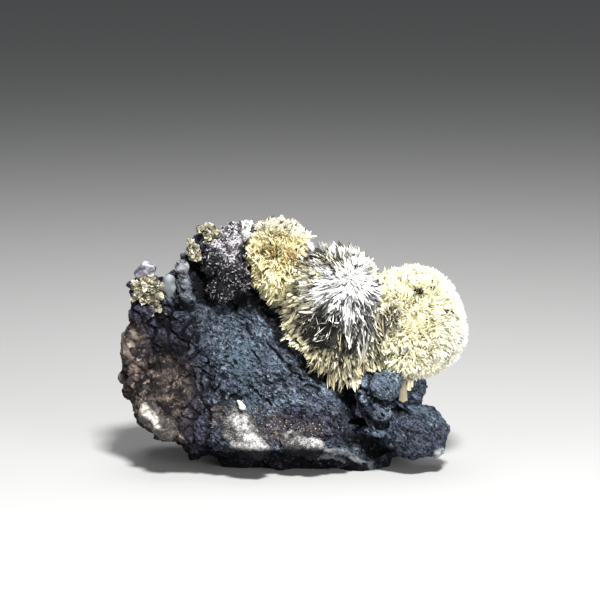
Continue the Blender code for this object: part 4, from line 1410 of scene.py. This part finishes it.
def smoky_calcite():
    """The long clouded lump at the lower left, painted white along its ridge as a highlight and painted black
    as shade on its underside.
    """
    verts, faces = fine_copy("left_calcite", 0.35, ((3.0, 0.9, 8.0), (1.2, 0.28, 9.0), (0.6, 0.1, 4.0)), 2)
    # Painted highlight: white along the ridge line.
    crest_highlight = near_line(verts, ((-37.2, 15.7), (-35.2, 13.9), (-33.0, 12.0)), 0.2, 2.4)
    cloud = np.clip(0.85 * crest_highlight + 0.6 * fractal(verts, 1.5, 4, 4.0), 0, 1)
    cloud *= 0.1 + 0.9 * clear_of_rock(verts)
    lump("smoky_calcite", "left_calcite", "white_calcite", crystal_material(
        "smoky_calcite", (0.2, 0.165, 0.14), (0.022, 0.018, 0.017), (0.6, 0.56, 0.5), (0.13, 0.105, 0.09),
        root=(0.015, 0.013, 0.012), roughness=0.5, glow=0.1,
    ), verts, faces, along=0.5 + 0.5 * cloud, rim=1 - cloud, tint=0.3, shade=underside_shade(verts))


def lilac_calcite():
    """The smooth clouded cap at the upper left corner."""
    verts, faces = fine_copy("corner_calcite", 0.3, ((2.4, 0.5, 2.0), (1.0, 0.15, 3.0)), 2)
    cloud = np.clip(0.45 + 0.8 * fractal(verts, 2.2, 2, 8.0) + 0.2 * smooth_step(verts[:, 2], 49, 52), 0, 1)
    lump("corner_calcite_crystals", "corner_calcite", "white_calcite", crystal_material(
        "lilac_calcite", (0.26, 0.255, 0.29), (0.06, 0.058, 0.07), (0.6, 0.6, 0.62), (0.16, 0.155, 0.18),
        root=(0.03, 0.03, 0.035), roughness=0.45, glow=0.1,
    ), verts, faces, along=0.4 + 0.5 * cloud, rim=1 - cloud, tint=0.1)


def grey_barrel():
    """A smooth, rounded crystal of grey-blue calcite with a paler top."""
    verts, faces = fine_copy("grey_crystal", 0.3, ((2.5, 0.15, 3.0),), 3)
    pale = smooth_step(verts[:, 2], 47.0, 49.5)
    lump("grey_barrel_crystal", "grey_crystal", "grey_calcite", crystal_material(
        "grey_calcite", (0.2, 0.22, 0.23), (0.1, 0.115, 0.125), (0.34, 0.35, 0.34), (0.14, 0.155, 0.165),
        roughness=0.6, glow=0.15,
    ), verts, faces, along=0.75 + 0.25 * pale, rim=1 - 0.6 * pale, tint=0.2)


# How many plates each tuft has, and how wide they are.
TUFTS = {
    "upper_tuft": (240, (0.5, 1.4)),
    "shoulder_tuft": (150, (0.5, 1.2)),
    "corner_tuft": (360, (0.5, 1.4)),
}
# The corner tuft's lower end, which lies on the rock: its place as seen, its spread and its plates.
LOW_TUFT = ((-33.8, 40.9), (1.0, 1.2), 50)
# The broad blades under the cream spray: root, tip, width and how olive each is.
STRAY_BLADES = (
    ((27.1, -13.2, 23.6), (27.0, -14.8, 18.5), 2.1, 1.0),
    ((28.7, -12.3, 24.0), (28.3, -13.9, 21.2), 1.2, 0.25),
    ((29.4, -12.0, 23.8), (29.1, -13.3, 22.0), 0.8, 0.1),
)


def add_leaves(crystals, points, away, size, rng):
    """Thin jagged plates that spread over each other, mostly with their flats to the front."""
    count = len(points)
    out = unit(away * (1.0, 0.45, 1.0) + rng.normal(0, 0.45, (count, 3)))
    wide = unit(np.cross(out, [[0.0, 1.0, 0.0]]) + rng.normal(0, 0.35, (count, 3)))
    wide = unit(square_to(out, wide))
    widths = rng.uniform(*size, count)
    reach = (widths * rng.uniform(0.35, 0.85, count))[:, None]
    dull = np.clip(0.55 + fractal(points, 2.0, 2, 3.0), 0, 1)
    # About a quarter of the plates are painted dark, as painted shade in the gaps between plates.
    crystals.add_blades(
        points - out * reach * 0.8, points + out * reach, wide, widths, 0.1, rng,
        tint=rng.random(count), rim=dull, shade=(rng.random(count) < 0.26) * 0.8,
    )


def tuft(node, count, size, material):
    """A clump of thin jagged plates that point outward."""
    rng = np.random.default_rng(len(node) * 7)
    crystals = Crystals()
    verts, faces = fine_copy(node, 0.35, ((1.2, 0.5, 5.0),))
    crystals.add(verts, faces, along=0.15, rim=1.0)
    points, outward = surface_points(verts, faces, count, rng)
    add_leaves(crystals, points, unit(outward + unit(points - verts.mean(axis=0))), size, rng)
    if node == "corner_tuft":
        points, outward = points_on_rock(*LOW_TUFT, rng)
        add_leaves(crystals, points, outward, size, rng)
    crystals.piece(node + "_crystals", node, material, "tan_aragonite")


def stray_blades(material):
    """The broad blades that stand loose under the cream spray."""
    rng = np.random.default_rng(3)
    crystals = Crystals()
    roots, tips = (np.array([blade[end] for blade in STRAY_BLADES]) for end in (0, 1))
    widths, olive = (np.array([blade[number] for blade in STRAY_BLADES]) for number in (2, 3))
    sideways = np.array([[1.0, 0.15, 0.0]]) + rng.normal(0, 0.1, roots.shape)
    sideways = unit(square_to(unit(tips - roots), sideways))
    crystals.add_blades(
        roots, tips, sideways, widths, 0.2, rng, shoulders=(0.9, 0.96),
        tint=0.9, rim=olive, shade=0.1 * olive,
    )
    crystals.piece("stray_blades_crystals", "stray_blades", material, "tan_aragonite")


def tan_crystals():
    """The tufts along the upper left edge and the stray blades, in one material."""
    tan = crystal_material(
        "tan_aragonite", (0.47, 0.45, 0.35), (0.31, 0.28, 0.18), (0.66, 0.65, 0.53), (0.46, 0.42, 0.28),
        root=(0.07, 0.06, 0.04), edge=0.4, roughness=0.6,
    )
    for node, (count, size) in TUFTS.items():
        tuft(node, count, size, tan)
    stray_blades(tan)


# ---------------------------------------------------------------- stage

# In metres, as are the lights' places and sizes.
FLOOR_HALF_WIDTH = 4.0
LIT_POINT = Vector((0, 0, 0.03))
FLOOR_GREY = (0.38, 0.38, 0.375, 1)
WORLD_COLOUR = (0.8, 0.82, 0.85, 1)


def add_light(name, place, size, watts):
    """A square white light that points at the specimen."""
    data = bpy.data.lights.new(name, "AREA")
    data.energy = watts
    data.size = size
    light = bpy.data.objects.new(name, data)
    light.location = place
    light.rotation_euler = (LIT_POINT - Vector(place)).to_track_quat("-Z", "Y").to_euler()
    bpy.context.scene.collection.objects.link(light)


def add_floor():
    """A wide pale floor under the specimen."""
    bm = bmesh.new()
    bmesh.ops.create_grid(bm, x_segments=1, y_segments=1, size=FLOOR_HALF_WIDTH)
    mesh = bpy.data.meshes.new("floor")
    bm.to_mesh(mesh)
    bm.free()
    n = Nodes("floor")
    mesh.materials.append(n.finish(FLOOR_GREY, 0.9))
    floor = bpy.data.objects.new("floor", mesh)
    bpy.context.scene.collection.objects.link(floor)


def add_lights():
    """A small strong key light from the upper front, weaker ones round it and a dim sky."""
    add_light("key", (0.06, -0.36, 0.5), 0.09, 8.5)
    add_light("fill", (-0.45, -0.35, 0.25), 0.4, 0.6)
    add_light("low", (0.32, -0.42, 0.08), 0.25, 2.9)
    add_light("top", (0.0, 0.15, 0.6), 0.4, 1.5)
    world = bpy.data.worlds.new("studio")
    world.use_nodes = True
    background = world.node_tree.nodes["Background"]
    background.inputs["Color"].default_value = WORLD_COLOUR
    background.inputs["Strength"].default_value = 0.18
    bpy.context.scene.world = world
    bpy.context.scene.view_settings.view_transform = "Standard"


add_camera()
add_floor()
add_lights()
fine_rock()
add_sprays()
druse_boulder()
lower_crusts()
pale_calcites()
smoky_calcite()
lilac_calcite()
grey_barrel()
tan_crystals()
